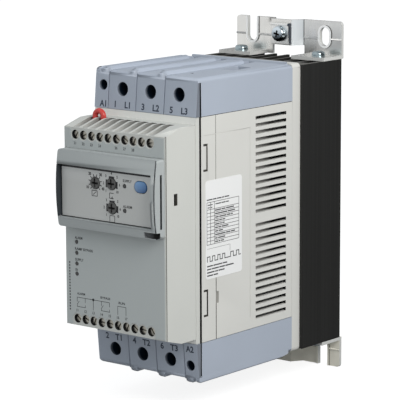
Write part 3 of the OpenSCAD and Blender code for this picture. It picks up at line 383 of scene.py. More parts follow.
sheet_front = -2 * mm
rim_front = -2.7 * mm
tab_start = -4 * mm
bridge_foot = 12 * mm
bridge_front = -9 * mm
sheet_edge = 0.25 * mm
# Painted shade for the lower and side walls of rims and bead.
zinc_painted_shade = zinc("painted_shade_zinc", (0.05, 0.05, 0.048), 0.5, metallic=0.4)
zinc_edge = zinc("sheared_zinc_edge", (0.62, 0.62, 0.6), 0.5, metallic=0.1)
# Painted highlight for the fronts of rims and bead.
zinc_painted_highlight = zinc("painted_highlight_zinc_rim", (0.98, 0.98, 0.96), 0.35, metallic=0.2)
# The bridge's right leg is painted light, fading to painted shade in the fold at its foot.
leg_painted_light = fading(
    "bridge_leg_painted_light", backwards, -2.9 * mm, -2.1 * mm, (0.66, 0.69, 0.71), (0.03, 0.035, 0.04),
    rough=0.4, metallic=0.2, specular=0.5,
)


def sheared(face):
    """The cut edges of the sheet: round the plate and its slots, and round the tabs."""
    away = abs(face.center.x)
    across, depth, rise = (abs(part) for part in face.normal)
    on_plate = face.center.y > sheet_front + 0.05 * mm and depth < 0.5 and rise < 0.9
    on_tab = face.center.y < tab_start and rise < 0.5 and away > bridge_foot + 2 * mm
    at_end = across > 0.9 and away > sink_high.x - 0.1 * mm
    return on_plate or on_tab or at_end


def in_relief(face):
    """Rims and bead, which stand in front of the plate."""
    in_front = rim_front < face.center.y < sheet_front - 0.02 * mm
    return in_front and abs(face.center.x) > bridge_foot + 0.1 * mm


def on_bridge_leg(face):
    """The right leg of the pressed earth bridge."""
    in_front = bridge_front < face.center.y < sheet_front - 0.2 * mm
    return face.normal.x > 0.7 and in_front and abs(face.center.x) < bridge_foot + mm


def in_shade(face):
    """The lower and side walls of rims and bead, which take painted shade."""
    return in_relief(face) and (face.normal.z < -0.6 or abs(face.normal.y) < 0.35)


bright_zinc = zinc("bright_zinc", (0.74, 0.74, 0.72), 0.27)
dull_zinc = zinc("dull_zinc", (0.92, 0.89, 0.78), 0.42, metallic=0.1)
for bracket_name, bracket_node, bracket_slot, bracket_zinc in (
    ("upper_wall_bracket", "upper_bracket", "zinc_sheet", bright_zinc),
    ("lower_wall_bracket", "lower_bracket", "zinc_sheet_dull", dull_zinc),
):
    bracket = solid_piece(
        bracket_name, bracket_node, bracket_zinc,
        [(sheet_edge, 2, lambda edge: edge.calc_length() > 0.3 * mm)],
    )
    finish_faces(bracket, zinc_edge, sheared)
    if bracket_node == "upper_bracket":
        finish_faces(bracket, zinc_painted_highlight, in_relief)
        finish_faces(bracket, leg_painted_light, on_bridge_leg)
    finish_faces(bracket, zinc_painted_shade, in_shade)


# Cross-recess screws: turned pan heads, zinc plated, with a pressed cross.
# Four hold the bracket tabs to the ends of the heat sink. A larger one is the earth screw, with a small
# pressure plate under it, on the upper bracket's bridge.
def turned(profile, turns=40):
    """A mesh spun round z from (radius, height) points, given from the top of the axis to its foot."""
    shape = bmesh.new()
    corners = [shape.verts.new((radius, 0, height)) for radius, height in profile]
    edges = [shape.edges.new(pair) for pair in zip(corners, corners[1:])]
    bmesh.ops.spin(
        shape, geom=corners + edges, cent=(0, 0, 0), axis=(0, 0, 1), angle=2 * math.pi, steps=turns,
        use_duplicate=False,
    )
    bmesh.ops.remove_doubles(shape, verts=shape.verts, dist=0.001 * mm)
    bmesh.ops.recalc_face_normals(shape, faces=shape.faces)
    return shape


def add_box(shape, low, high):
    """A box between two corners, added to the shape."""
    middle = (Vector(low) + Vector(high)) / 2
    size = Vector(high) - Vector(low)
    placed = Matrix.Translation(middle) @ Matrix.Diagonal((*size, 1))
    return bmesh.ops.create_cube(shape, size=1, matrix=placed)["verts"]


def evaluated_mesh(helper):
    """The finished mesh of an object that is needed for nothing else and is then removed."""
    bpy.context.view_layer.update()
    depsgraph = bpy.context.evaluated_depsgraph_get()
    mesh = bpy.data.meshes.new_from_object(helper.evaluated_get(depsgraph), depsgraph=depsgraph)
    bpy.data.objects.remove(helper)
    return mesh


def cut_away(shape, cutter):
    """The first shape with the second one cut out of it."""
    body = add_object("body", plain_mesh("body", shape))
    tool = add_object("cutter", plain_mesh("cutter", cutter))
    cut = body.modifiers.new("cut", "BOOLEAN")
    cut.operation = "DIFFERENCE"
    cut.solver = "EXACT"
    cut.use_self = True
    cut.object = tool
    result = evaluated_mesh(body)
    bpy.data.objects.remove(tool)
    return result


def pan_screw(head, height, shank, length):
    """A pan-head screw standing on z = 0 with its cross on top and its shank below."""
    tip = 0.3 * mm
    crown_steps = 6
    profile = [(0, height)]
    for step in range(1, crown_steps + 1):
        part = step / crown_steps
        radius = head / 2 * (0.55 + 0.45 * math.sin(part * math.pi / 2))
        profile.append((radius, height * (1 - 0.7 * part * part)))
    profile += [(head / 2, 0), (shank / 2, 0), (shank / 2, -length + tip), (shank / 2 - tip, -length)]
    profile.append((0, -length))
    arm = 0.3 * head
    thick = 0.062 * head
    depth = 0.62 * height
    taper = 0.55
    cross = bmesh.new()
    for along, across in (((1, 0), (0, 1)), ((0, 1), (1, 0))):
        top = add_box(
            cross,
            (-arm * along[0] - thick * across[0], -arm * along[1] - thick * across[1], height - depth),
            (arm * along[0] + thick * across[0], arm * along[1] + thick * across[1], height + depth),
        )
        for corner in top:
            if corner.co.z < height:
                corner.co.x *= taper if along[0] else 1
                corner.co.y *= taper if along[1] else 1
    return cut_away(turned(profile), cross)


def set_on_points():
    """Node tree that sets one mesh on every point it is given, turned by the point's own direction."""
    tree = bpy.data.node_groups.new("set_on_points", "GeometryNodeTree")
    names = {}
    for name, kind in (
        ("Points", "Geometry"), ("Piece", "Object"), ("Turn spread", "Float"), ("Seed", "Int"),
        ("Finish", "Material"),
    ):
        socket = tree.interface.new_socket(name, in_out="INPUT", socket_type="NodeSocket" + kind)
        names[name] = socket.identifier
    tree.interface.new_socket("Geometry", in_out="OUTPUT", socket_type="NodeSocketGeometry")
    given = add_node(tree, "NodeGroupInput").outputs
    source = add_node(tree, "GeometryNodeObjectInfo", {"Object": given["Piece"]})
    facing = add_node(tree, "GeometryNodeInputNamedAttribute", {"Name": "facing"}, data_type="FLOAT_VECTOR")
    stand = add_node(
        tree, "FunctionNodeAlignRotationToVector", {"Vector": facing.outputs["Attribute"]}, axis="Z"
    )
    lowest = add_node(tree, "ShaderNodeMath", {0: given["Turn spread"], 1: -1}, operation="MULTIPLY")
    limits = {2: lowest.outputs[0], 3: given["Turn spread"]}
    chance = add_node(
        tree, "FunctionNodeRandomValue", {**limits, "Seed": given["Seed"]}, data_type="FLOAT"
    )
    about = add_node(tree, "ShaderNodeCombineXYZ", {"Z": chance.outputs[1]})
    turn = add_node(
        tree, "FunctionNodeRotateRotation",
        {"Rotation": stand.outputs["Rotation"], "Rotate By": about.outputs["Vector"]}, rotation_space="LOCAL",
    )
    placing = {"Instance": source.outputs["Geometry"], "Rotation": turn.outputs["Rotation"]}
    copies = add_node(tree, "GeometryNodeInstanceOnPoints", {"Points": given["Points"], **placing})
    real = add_node(tree, "GeometryNodeRealizeInstances", {"Geometry": copies.outputs["Instances"]})
    finished = add_node(
        tree, "GeometryNodeSetMaterial", {"Geometry": real.outputs["Geometry"], "Material": given["Finish"]}
    )
    add_node(tree, "NodeGroupOutput", {"Geometry": finished.outputs["Geometry"]})
    return tree, names


scatter_tree, scatter_inputs = set_on_points()


def scattered(name, piece_mesh, places, material, spread=0.0, seed=0):
    """One mesh of copies set on (point, direction) places, made by the node tree."""
    points = bpy.data.meshes.new("points")
    points.from_pydata([point for point, _ in places], [], [])
    facing = points.attributes.new("facing", "FLOAT_VECTOR", "POINT")
    for row, (_, direction) in zip(facing.data, places):
        row.vector = direction
    holder = add_object("holder", points)
    source = add_object("source", piece_mesh)
    grow = holder.modifiers.new("set_on_points", "NODES")
    grow.node_group = scatter_tree
    grow[scatter_inputs["Piece"]] = source
    grow[scatter_inputs["Turn spread"]] = spread
    grow[scatter_inputs["Seed"]] = seed
    grow[scatter_inputs["Finish"]] = material
    mesh = evaluated_mesh(holder)
    bpy.data.objects.remove(source)
    mesh.name = name
    return smoothed(mesh, 35)


def plated(name, colour, rough):
    """Plated turned steel with fine cloudy patches."""
    material, tree, shader = plain_finish(name, 1.0, 0.5)
    cloud = surface_noise(tree, 700, 3)
    coat(tree, shader, cloud, tones(colour, 0.86, 1.1), cloud, (rough - 0.08, rough + 0.08))
    relief(tree, shader, cloud, 0.01 * mm, 0.3)
    return material


def screw_piece(name, node, screw, places, material, spread, seed):
    """Copies of one screw on their places, each turned by chance, as a piece."""
    mesh = scattered(name, screw, places, material, spread, seed)
    return add_piece(name, mesh, material, "starter", [node])


screw_plating = plated("blue_zinc_screw", (0.32, 0.39, 0.42), 0.17)
tab_low, tab_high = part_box("bracket_screws")
tab_screw_x = 29 * mm
tab_screw_y = -11 * mm
tab_screw_head = 8 * mm
tab_screw_height = 2.8 * mm
tab_screw_shank = 4 * mm
tab_screw_length = 12 * mm
tab_screw_places = []
for side in (-1, 1):
    tab_screw_places.append(((side * tab_screw_x, tab_screw_y, tab_high.z - tab_screw_height), (0, 0, 1)))
    tab_screw_places.append(((side * tab_screw_x, tab_screw_y, tab_low.z + tab_screw_height), (0, 0, -1)))
tab_screw = pan_screw(tab_screw_head, tab_screw_height, tab_screw_shank, tab_screw_length)
screw_piece(
    "bracket_tab_screws", "bracket_screws", tab_screw, tab_screw_places, screw_plating,
    spread=0.7, seed=4,
)

earth_low, earth_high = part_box("earth_screw")
earth_head = earth_high.x - earth_low.x
earth_height = 3.6 * mm
earth_shank = 5 * mm
earth_length = 7 * mm
earth_middle_z = (earth_low.z + earth_high.z) / 2
earth_place = ((0, earth_low.y + earth_height, earth_middle_z), (0, -1, 0))
earth_screw = pan_screw(earth_head, earth_height, earth_shank, earth_length)
earth_piece = screw_piece(
    "earth_terminal_screw", "earth_screw", earth_screw, [earth_place], screw_plating,
    spread=0.4, seed=2,
)


def earth_recess(face):
    """The pressed cross in the earth screw's head."""
    away = math.hypot(face.center.x, face.center.z - earth_middle_z)
    deep = face.center.y - earth_low.y
    in_cross = away < 0.31 * earth_head and deep < earth_height
    return in_cross and (abs(face.normal.y) < 0.6 or deep > 0.3 * earth_height)


# The head is painted dark at its foot and light at its top: painted reflection of the floor and the room.
earth_painted_reflection = fading(
    "earth_screw_painted_reflection", upwards, earth_low.z + 1.5 * mm, earth_high.z - 2 * mm,
    (0.03, 0.04, 0.05), (0.62, 0.7, 0.76), rough=0.16, metallic=1.0, specular=0.5,
)
finish_faces(earth_piece, earth_painted_reflection, lambda face: face.center.y < earth_low.y + earth_height)
# The pressed cross is painted dark, as the shade inside it.
finish_faces(earth_piece, plated("recess_painted_shade", (0.05, 0.055, 0.06), 0.4), earth_recess)
clamp_plate_zinc = plated("clamp_plate_zinc", (0.78, 0.79, 0.78), 0.3)
# The pressure plate's right side is painted dark: painted reflection of the dark back right of the room.
clamp_plate_painted_shade = plated("clamp_plate_painted_shade", (0.1, 0.12, 0.16), 0.35)
clamp_plate_rounding = 0.3 * mm
clamp_plate = solid_piece(
    "earth_pressure_plate", "earth_clamp_plate", clamp_plate_zinc,
    [(clamp_plate_rounding, 2, lambda edge: edge.calc_length() > 1.5 * mm)],
)
finish_faces(clamp_plate, clamp_plate_painted_shade, lambda face: face.normal.x > 0.7)


# Rear base: a white moulded frame, screwed to the heat sink through its floor.
# Its rim shows as a pale band between housing and heat sink.
def moulding(name, colour, rough, grain=0.03, patch=0.03, specular=0.35):
    """Moulded plastic: eroded mould grain, faint cloudiness, slightly uneven gloss."""
    material, tree, shader = plain_finish(name, 0.0, specular)
    cloud = surface_noise(tree, 30, 3)
    grains = surface_noise(tree, 2200, 2)
    coat(tree, shader, cloud, tones(colour, 1 - patch, 1 + patch), grains, (rough - 0.06, rough + 0.08))
    relief(tree, shader, grains, grain * mm, 0.35)
    return material


white_moulding = moulding("white_moulding", (0.62, 0.615, 0.585), 0.5)
rim_rounding = 0.8 * mm
base_low, base_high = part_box("rear_base")


def rim_edge(edge):
    """The long edges of the base's outer rim."""
    outside = max(abs(corner.co.x) for corner in edge.verts) > base_high.x - 3 * mm
    in_rim = level(edge, 1, base_low.y) or level(edge, 1, base_high.y)
    return in_rim and outside and edge.calc_length() > 30 * mm


solid_piece("rear_base_frame", "rear_base", white_moulding, [(rim_rounding, 3, rim_edge)])


# Power pieces inside the housing: semiconductor modules, relays, copper strips, ring transformers, boards,
# clamps and their screws. They show only as darkness or a glint behind vents and screwdriver holes, so
# their solids stay and get their own finishes.
def lacquered_board(name):
    """Green solder lacquer over copper tracks."""
    material, tree, shader = plain_finish(name, 0.0, 0.5)
    tracks = surface_noise(tree, 160, 1, (1, 1, 0.25))
    coat(tree, shader, tracks, ((0.008, 0.07, 0.03), (0.02, 0.14, 0.06)), tracks, (0.28, 0.4))
    relief(tree, shader, tracks, 0.03 * mm)
    return material


def paint_nodes(material, *nodes):
    """Gives solids that stay as they are their finish."""
    for node in nodes:
        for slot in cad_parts[node].material_slots:
            slot.material = material


black_moulding = moulding("black_moulding", (0.012, 0.012, 0.013), 0.5, specular=0.25)
clamp_plating = plated("clamp_plating", (0.66, 0.66, 0.62), 0.34)
paint_nodes(
    black_moulding,
    "thyristor_module_1", "thyristor_module_2", "thyristor_module_3", "bypass_relays", "board_connector",
    "dial_board_header", "dial_switches", "reset_switch",
)
paint_nodes(plated("tinned_copper", (0.2, 0.19, 0.17), 0.4), "line_busbars", "load_busbars")
paint_nodes(moulding("blue_resin", (0.015, 0.035, 0.17), 0.35), "current_transformers")
paint_nodes(lacquered_board("green_board"), "power_board", "control_board", "dial_board")
paint_nodes(screw_plating, "base_screws", "line_clamp_screws", "load_clamp_screws", "supply_clamp_screws")
paint_nodes(
    clamp_plating,
    "line_clamps", "load_clamps", "supply_clamps", "upper_control_clamps", "lower_control_clamps",
)


# Housing shell: a white vented moulding between the terminal covers.
# Two rows of vents run up each side, with panel lines, a seam and latch outlines beside them.
shell_low, shell_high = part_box("housing_shell")
shell_shape = solid_copy("housing_shell")
shell_rounding = 0.4 * mm
round_edges(
    shell_shape, shell_rounding, 2,
    lambda edge: (level(edge, 0, shell_low.x) or level(edge, 0, shell_high.x))
    and (level(edge, 1, shell_low.y) or level(edge, 1, shell_high.y))
    and edge.calc_length() > 20 * mm,
)
shell_gap = 0.3 * mm
for corner in shell_shape.verts:
    if abs(corner.co.z - shell_high.z) < 0.01 * mm:
        corner.co.z -= shell_gap
    elif abs(corner.co.z - shell_low.z) < 0.01 * mm:
        corner.co.z += shell_gap
shell = shape_piece("vented_shell", shell_shape, white_moulding, ["housing_shell"])
even_shading(shell)


def sunk_in_side(face, side, front, back, deepest, shallowest=0.02 * mm):
    """Whether a face lies in a cut of the sides at x = side and -side, between two places along y."""
    return front < face.center.y < back and shallowest < side - abs(face.center.x) < deepest


def shade(name, colour):
    """Painted shade: moulded plastic coloured dark for the shade deep in a groove or a hole, with hardly any
    gloss.
    """
    return moulding(name, colour, 0.6, specular=0.1)


vent_front = -83 * mm
vent_back = -54 * mm
latch_front = -130.8 * mm
latch_back = -126.6 * mm
seam_front = -119.9 * mm
seam_back = -117.1 * mm
slot_back = -118.9 * mm
vent_depth = 2.1 * mm
latch_depth = 1.6 * mm
panel_depth = 1.1 * mm
shadow = shade("dark_shadow", (0.02, 0.02, 0.02))
seam_shade = shade("seam_shade", (0.12, 0.115, 0.1))
slot_shade = shade("slot_shade", (0.33, 0.325, 0.3))
groove_shade = shade("groove_shade", (0.075, 0.07, 0.06))
finish_faces(
    shell, shadow,
    lambda face: sunk_in_side(face, shell_high.x, vent_front, vent_back, vent_depth) and face.normal.z < 0.5,
)
for finish, front, back, deepest in (
    (groove_shade, latch_front, latch_back, latch_depth), (seam_shade, seam_front, slot_back, panel_depth),
    (slot_shade, slot_back, seam_back, panel_depth),
):
    finish_faces(shell, finish, lambda face: sunk_in_side(face, shell_high.x, front, back, deepest))
finish_faces(
    shell, shadow,
    lambda face: min(shell_high.z - face.center.z, face.center.z - shell_low.z) < shell_gap + 0.01 * mm,
)
finish_faces(shell, shadow, lambda face: face.center.y < shell_low.y + 0.1 * mm)

# Vent ribs: one flat rib moulded inside each side wall, behind the front part of the vents.
# It keeps the vents from being seen through there; its colour fades to black towards the back, painted shade
# of the dark behind.
rib_thick = 1 * mm
rib_front = vent_front - 1.5 * mm
rib_back = vent_front + 17 * mm
wall_inside = shell_high.x - 2.2 * mm
rib_low = 62 * mm
rib_high = 148.7 * mm
rib_painted_shade = fading("vent_rib", backwards, vent_front, rib_back, (0.34, 0.33, 0.31), (0.01, 0.01, 0.01))
rib_shape = bmesh.new()
for side in (-1, 1):
    near = side * wall_inside
    far = side * (wall_inside - rib_thick)
    add_box(rib_shape, (min(near, far), rib_front, rib_low), (max(near, far), rib_back, rib_high))
shape_piece("vent_ribs", rib_shape, rib_painted_shade)

# Terminal covers: one blue-grey moulding, used at the top and, turned half round, at the bottom.
# Screwdriver holes have broken edges, ridges and dividers run over the outer face.
cover_colour = (0.383, 0.424, 0.496)
blue_grey = moulding("blue_grey_moulding", cover_colour, 0.48, patch=0.05)
pole_pitch = 20.7 * mm
upper_poles = [-17.05 * mm + pole_pitch * step for step in range(3)]
pole_drop = 10 * mm
pole_hole = 8 * mm
supply_x = -31.65 * mm
supply_drop = 8.5 * mm
supply_hole = 6 * mm
hole_rounding = 0.4 * mm
gap_rounding = 0.45 * mm


def near_hole(edge, holes):
    """Whether an edge runs round one of the (x, z, diameter) holes."""
    ends = [(corner.co.x, corner.co.z) for corner in edge.verts]
    return any(
        all(abs(math.dist(end, (x, z)) - across / 2) < 0.05 * mm for end in ends) for x, z, across in holes
    )


housing_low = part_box("lower_terminal_cover")[0]
housing_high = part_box("upper_terminal_cover")[1]
body_middle_z = (housing_low.z + housing_high.z) / 2
body_half = 86 * mm
cover_half_w = housing_high.x
cover_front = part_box("upper_terminal_cover")[0].y
cover_lean = 2 * mm


def in_holes(face, holes, front):
    """Whether a face is part of the wall of one of the (x, z, diameter) holes."""
    if face.center.y < front or abs(face.normal.y) > 0.9:
        return False
    return any(
        math.hypot(face.center.x - x, face.center.z - z) < across / 2 + 0.05 * mm for x, z, across in holes
    )


# The screwdriver holes' walls are painted shade, darkening to near black with depth.
hole_painted_shade = fading(
    "blue_grey_hole_painted_shade", backwards, cover_front + 0.5 * mm, cover_front + 3.5 * mm, shaded(cover_colour, 0.8),
    (0.008, 0.018, 0.034),
)
# The narrow side before the parting gap is painted darker, as shade.
edge_painted_shade = moulding("blue_grey_edge_painted_shade", shaded(cover_colour, 0.45), 0.5)
cover_shadow = shade("blue_grey_shadow", shaded(cover_colour, 0.08))
seam_y = -133 * mm
seam_half = 0.6 * mm
seam_depth = 1.7 * mm
mark_side = 4.8 * mm
mark_front = -119.1 * mm
mark_back = -116.5 * mm


def cover_piece(name, node, turn):
    """A terminal cover; turn is 1 for the upper end and -1 for the lower end."""
    holes = [(turn * x, body_middle_z + turn * (body_half - pole_drop), pole_hole) for x in upper_poles]
    holes.append((turn * supply_x, body_middle_z + turn * (body_half - supply_drop), supply_hole))
    marks = [turn * (x - mark_side) for x in upper_poles]
    front_limit = cover_front + 3 * mm

    def hole_edge(edge):
        """The front edges of the screwdriver holes."""
        return near_hole(edge, holes) and all(corner.co.y < front_limit for corner in edge.verts)

    def gap_edge(edge):
        """The edges of the side faces behind the parting gap."""
        on_side = level(edge, 0, cover_half_w) or level(edge, 0, -cover_half_w)
        return on_side and level(edge, 1, seam_y + seam_half)

    rounding = [(hole_rounding, 2, hole_edge), (gap_rounding, 3, gap_edge)]
    cover = solid_piece(name, node, blue_grey, rounding)

    def edge_strip(face):
        """The narrow side between the front and the parting gap."""
        return (
            face.center.y < seam_y - seam_half
            and abs(face.normal.x) > 0.9
            and abs(face.center.x) > cover_half_w - 0.1 * mm
        )

    def gap_wall(face):
        """The floor and walls of the parting gap."""
        reach = seam_half + 0.02 * mm
        front = seam_y - reach
        back = seam_y + reach
        return sunk_in_side(face, cover_half_w, front, back, seam_depth, shallowest=0.05 * mm)

    def mark_floor(face):
        """The sunk triangles over the poles."""
        sunk = body_half - abs(face.center.z - body_middle_z)
        beside = any(abs(face.center.x - x) < 1.5 * mm for x in marks)
        return beside and mark_front < face.center.y < mark_back and 0.03 * mm < sunk < 0.6 * mm

    finish_faces(cover, hole_painted_shade, lambda face: in_holes(face, holes, cover_front + 0.3 * mm))
    finish_faces(cover, edge_painted_shade, edge_strip)
    finish_faces(cover, cover_shadow, lambda face: gap_wall(face) or mark_floor(face))


cover_piece("upper_cover", "upper_terminal_cover", 1)
cover_piece("lower_cover", "lower_terminal_cover", -1)


# Lettering on the covers: pole numbers and names, printed in dark blue-grey beside each hole.
# Each letter is a thin layer on the cover's leaning front.
def ink(name, colour):
    """Printing ink with a slightly broken film."""
    material, tree, shader = plain_finish(name, 0.0, 0.3)
    speckle = surface_noise(tree, 1500, 2)
    coat(tree, shader, speckle, tones(colour, 0.85, 1.25), speckle, (0.45, 0.6))
    return material


ink_half = 0.03 * mm


def flat_words(words, height, narrow, bold):
    """Words in the x-z plane, centred on the origin and facing -y, as a thin closed layer."""
    letters = bpy.data.curves.new("words", "FONT")
    letters.body = words
    letters.align_x = "CENTER"
    letters.size = height / 0.7
    letters.resolution_u = 3
    letters.extrude = ink_half
    letters.offset = bold * height
    mesh = evaluated_mesh(add_object("words", letters))
    stand = Matrix.Rotation(math.pi / 2, 4, "X") @ Matrix.Translation((0, -height / 2, 0))
    mesh.transform(stand @ Matrix.Diagonal((narrow, 1, 1, 1)))
    return mesh


def add_words(shape, words, height, place, narrow, bold):
    """Adds words, centred on a place, to a print."""
    mesh = flat_words(words, height, narrow, bold)
    mesh.transform(Matrix.Translation(place))
    shape.from_mesh(mesh)
    bpy.data.meshes.remove(mesh)


def add_bar(shape, start, end, width, y):
    """A straight printed line between two (x, z) points."""
    run = Vector((end[0] - start[0], 0, end[1] - start[1]))
    middle = Vector(((start[0] + end[0]) / 2, y, (start[1] + end[1]) / 2))
    turned_to = Matrix.Rotation(-math.atan2(run.z, run.x), 4, "Y")
    size = Matrix.Diagonal((run.length, 2 * ink_half, width, 1))
    bmesh.ops.create_cube(shape, size=1, matrix=Matrix.Translation(middle) @ turned_to @ size)


def add_dot(shape, place, across):
    """A round printed spot at an (x, y, z) place."""
    lie = Matrix.Translation(place) @ Matrix.Rotation(math.pi / 2, 4, "X")
    bmesh.ops.create_cone(
        shape, cap_ends=True, segments=20, radius1=across / 2, radius2=across / 2, depth=2 * ink_half,
        matrix=lie,
    )


def add_print(name, shape, material):
    """A finished print as a piece that rides on the starter."""
    return add_piece(name, plain_mesh(name, shape), material, "starter")


def cover_print(name, turn, digits, letters, supply_name):
    """Pole designations of one cover, laid on its leaning front."""
    height = 3.5 * mm
    wide = 1.02
    bold = 0.042
    cover_height = 21.6 * mm
    digit_set = -4.9 * mm if turn > 0 else -5.6 * mm
    name_set = 4.5 * mm if turn > 0 else 3.4 * mm
    line_in = 2.9 * mm if turn > 0 else 4.3 * mm
    supply_in = 2.6 * mm if turn > 0 else 3.4 * mm
    supply_set = 0.9 * mm if turn > 0 else 0.3 * mm
    foot = body_half - cover_height
    shape = bmesh.new()
    z = body_middle_z + turn * (foot + line_in)
    for x, digit, letter in zip(sorted(turn * pole for pole in upper_poles), digits, letters):
        add_words(shape, digit, height, (x + digit_set, 0, z), wide, bold)
        add_words(shape, letter, height, (x + name_set, 0, z), wide, bold)
    z = body_middle_z + turn * (foot + supply_in)
    add_words(shape, supply_name, height, (turn * supply_x + supply_set, 0, z), 0.92 * wide, bold)
    for corner in shape.verts:
        along = (abs(corner.co.z - body_middle_z) - foot) / cover_height
        corner.co.y += cover_front + cover_lean * along
    add_print(name, shape, cover_ink)


cover_ink = ink("dark_blue_ink", (0.03, 0.04, 0.062))
cover_print("upper_cover_print", 1, "135", ("L1", "L2", "L3"), "A1")
cover_print("lower_cover_print", -1, "246", ("T1", "T2", "T3"), "A2")

# Sticker: a white satin film on the right side, ruled into a plain table.
# It carries ruled lines, grey bars and a simple pulse line only.
sticker_low, sticker_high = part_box("rating_label")
paper = moulding("white_film", (0.79, 0.79, 0.785), 0.4, grain=0.01, patch=0.015)
paint_nodes(paper, "rating_label")
sticker_ink = ink("sticker_ink", (0.06, 0.06, 0.062))
table_left = 1.2 * mm
table_right = 30.1 * mm
table_columns = (table_left, 4.4 * mm, 7.9 * mm, table_right)
table_top = 43.8 * mm
table_head = 4.1 * mm
table_row = 2.0 * mm
table_rows = 10
rule_width = 0.27 * mm
word_height = 0.7 * mm
head_word_height = 0.6 * mm
table_foot = table_top - table_head - table_rows * table_row
sticker_print = bmesh.new()


def sticker_mark(start_u, start_v, end_u, end_v):
    """An upright printed rectangle on the sticker, from its front foot along and up."""
    front = sticker_low.y
    foot = sticker_low.z
    low = (sticker_high.x, front + start_u, foot + start_v)
    high = (sticker_high.x + 2 * ink_half, front + end_u, foot + end_v)
    add_box(sticker_print, low, high)


def sticker_line(start_u, middle_v, length, height, chunks):
    """A line of plain dashes with gaps, like a line of print seen from afar."""
    gap = 0.55 * mm
    whole = sum(chunks)
    at = start_u
    for chunk in chunks:
        run = chunk / whole * (length - gap * (len(chunks) - 1))
        sticker_mark(at, middle_v - height / 2, at + run, middle_v + height / 2)
        at += run + gap


rule_shape = bmesh.new()
rule_half = (table_right - table_left) / 2
add_box(rule_shape, (-rule_width / 2, -rule_half, 0), (rule_width / 2, rule_half, 2 * ink_half))
rule_levels = [table_top] + [table_top - table_head - table_row * step for step in range(table_rows + 1)]
rule_places = [
    ((sticker_high.x, sticker_low.y + (table_left + table_right) / 2, sticker_low.z + rise), (1, 0, 0))
    for rise in rule_levels
]
sticker_rules = scattered("sticker_rules", plain_mesh("rule", rule_shape), rule_places, sticker_ink)
sticker_print.from_mesh(sticker_rules)
for column in table_columns:
    sticker_mark(column - rule_width / 2, table_foot, column + rule_width / 2, table_top)
word_patterns = (
    (3, 2, 4), (5, 3), (2, 4, 2, 1), (4, 3, 3), (6, 2, 3), (2, 2, 5), (3, 4), (5, 2, 2), (2, 6), (4, 2, 4),
)
word_lengths = (17, 18, 16, 9, 8.5, 12, 7, 18, 9, 8)
for row, (words, length) in enumerate(zip(word_patterns, word_lengths)):
    middle = table_top - table_head - table_row * (row + 0.5)
    sticker_line(8.5 * mm, middle, length * mm, word_height, words)
for start, drop, length, words in (
    (8.9, 1.5, 12, (4, 3, 2)), (2.0, 1.5, 4.2, (3, 2)), (2.0, 3.0, 4.0, (2, 2)),
):
    sticker_line(start * mm, table_top - drop * mm, length * mm, head_word_height, words)
sticker_line(table_left, 45.3 * mm, 20 * mm, 0.65 * mm, (5, 3, 4, 2, 4))
sticker_mark(1.5 * mm, 17.3 * mm, 22 * mm, 17.45 * mm)
sticker_mark(21.9 * mm, 13.6 * mm, 22.05 * mm, 17.45 * mm)
for middle, length, words in (
    (7.4, 18, (4, 6, 3)), (5.6, 24, (3, 5, 4, 6)), (3.8, 15.7, (5, 2, 4)), (2.0, 9.7, (4, 3)),
):
    sticker_line(table_left, middle * mm, length * mm, word_height, words)

pulse_low = 10.1 * mm
pulse_high = 12.8 * mm
pulse_width = 0.5 * mm
pulse_edges = [1.5, 3.8, 6.0, 8.2, 10.8, 12.9, 15.1, 17.2, 22.5, 25.0, 27.8, 30.0, 31.8]
for place, (start_u, end_u) in enumerate(zip(pulse_edges, pulse_edges[1:])):
    rise = pulse_low if place % 2 else pulse_high
    sticker_mark(start_u * mm, rise - pulse_width / 2, end_u * mm, rise + pulse_width / 2)
    sticker_mark(
        start_u * mm - pulse_width / 2, pulse_low - pulse_width / 2,
        start_u * mm + pulse_width / 2, pulse_high + pulse_width / 2,
    )
add_print("sticker_print", sticker_print, sticker_ink)

# Front plate and control module: off-white mouldings; the module plugs onto the plate.
# Wire grooves run up both shoulders, and screw holes follow the edges.
off_white = moulding("off_white_moulding", (0.565, 0.57, 0.54), 0.48)
plate_step = seam_y - seam_half
front_panel = shape_piece(
    "front_closing_plate", solid_copy("front_plate"), off_white, ["front_plate"]
)
# The plate's front faces get a lighter white than its other faces: painted light.
plate_painted_light = moulding("plate_front_painted_light", (0.8, 0.8, 0.765), 0.48)
finish_faces(front_panel, shadow, lambda face: face.center.y > plate_step - 0.02 * mm)
finish_faces(front_panel, plate_painted_light, lambda face: face.normal.y < -0.9)
module_low, module_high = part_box("module_housing")
seam_reach = module_low.y + 1.1 * mm
case_rounding = 0.5 * mm


def case_edge(edge):
    """The long side edges of the case behind its corner grooves."""
    on_side = level(edge, 0, module_low.x) or level(edge, 0, module_high.x)
    return on_side and edge.calc_length() > 10 * mm and min(corner.co.y for corner in edge.verts) > seam_reach


module_case = solid_piece(
    "control_module_case", "module_housing", off_white, [(case_rounding, 3, case_edge)]
)
terminal_pitch = 6.11 * mm
terminal_first = -28.7 * mm
terminal_count = 10
terminal_hole = 5.2 * mm
terminal_nodes = ("upper_control_screws", "lower_control_screws")
terminal_levels = [(low.z + high.z) / 2 for low, high in map(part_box, terminal_nodes)]


def terminal_x(number):
    """Middle of a control terminal, counted from 1 at the left."""
    return terminal_first + (number - 1) * terminal_pitch


terminal_middles = [terminal_x(number) for number in range(1, terminal_count + 1)]
terminal_holes = [(x, z, terminal_hole) for x in terminal_middles for z in terminal_levels]
shoulder_reach = 55 * mm
wire_groove_half = 2.2 * mm


def corner_seam(face):
    """The groove down the module's front corners."""
    return sunk_in_side(face, module_high.x, module_low.y + 0.3 * mm, seam_reach, deepest=0.8 * mm)


def side_slot(face):
    """The small hole through the module's side."""
    front = module_low.y + 6.9 * mm
    back = module_low.y + 10.7 * mm
    return sunk_in_side(face, module_high.x, front, back, deepest=1.9 * mm, shallowest=0.05 * mm)


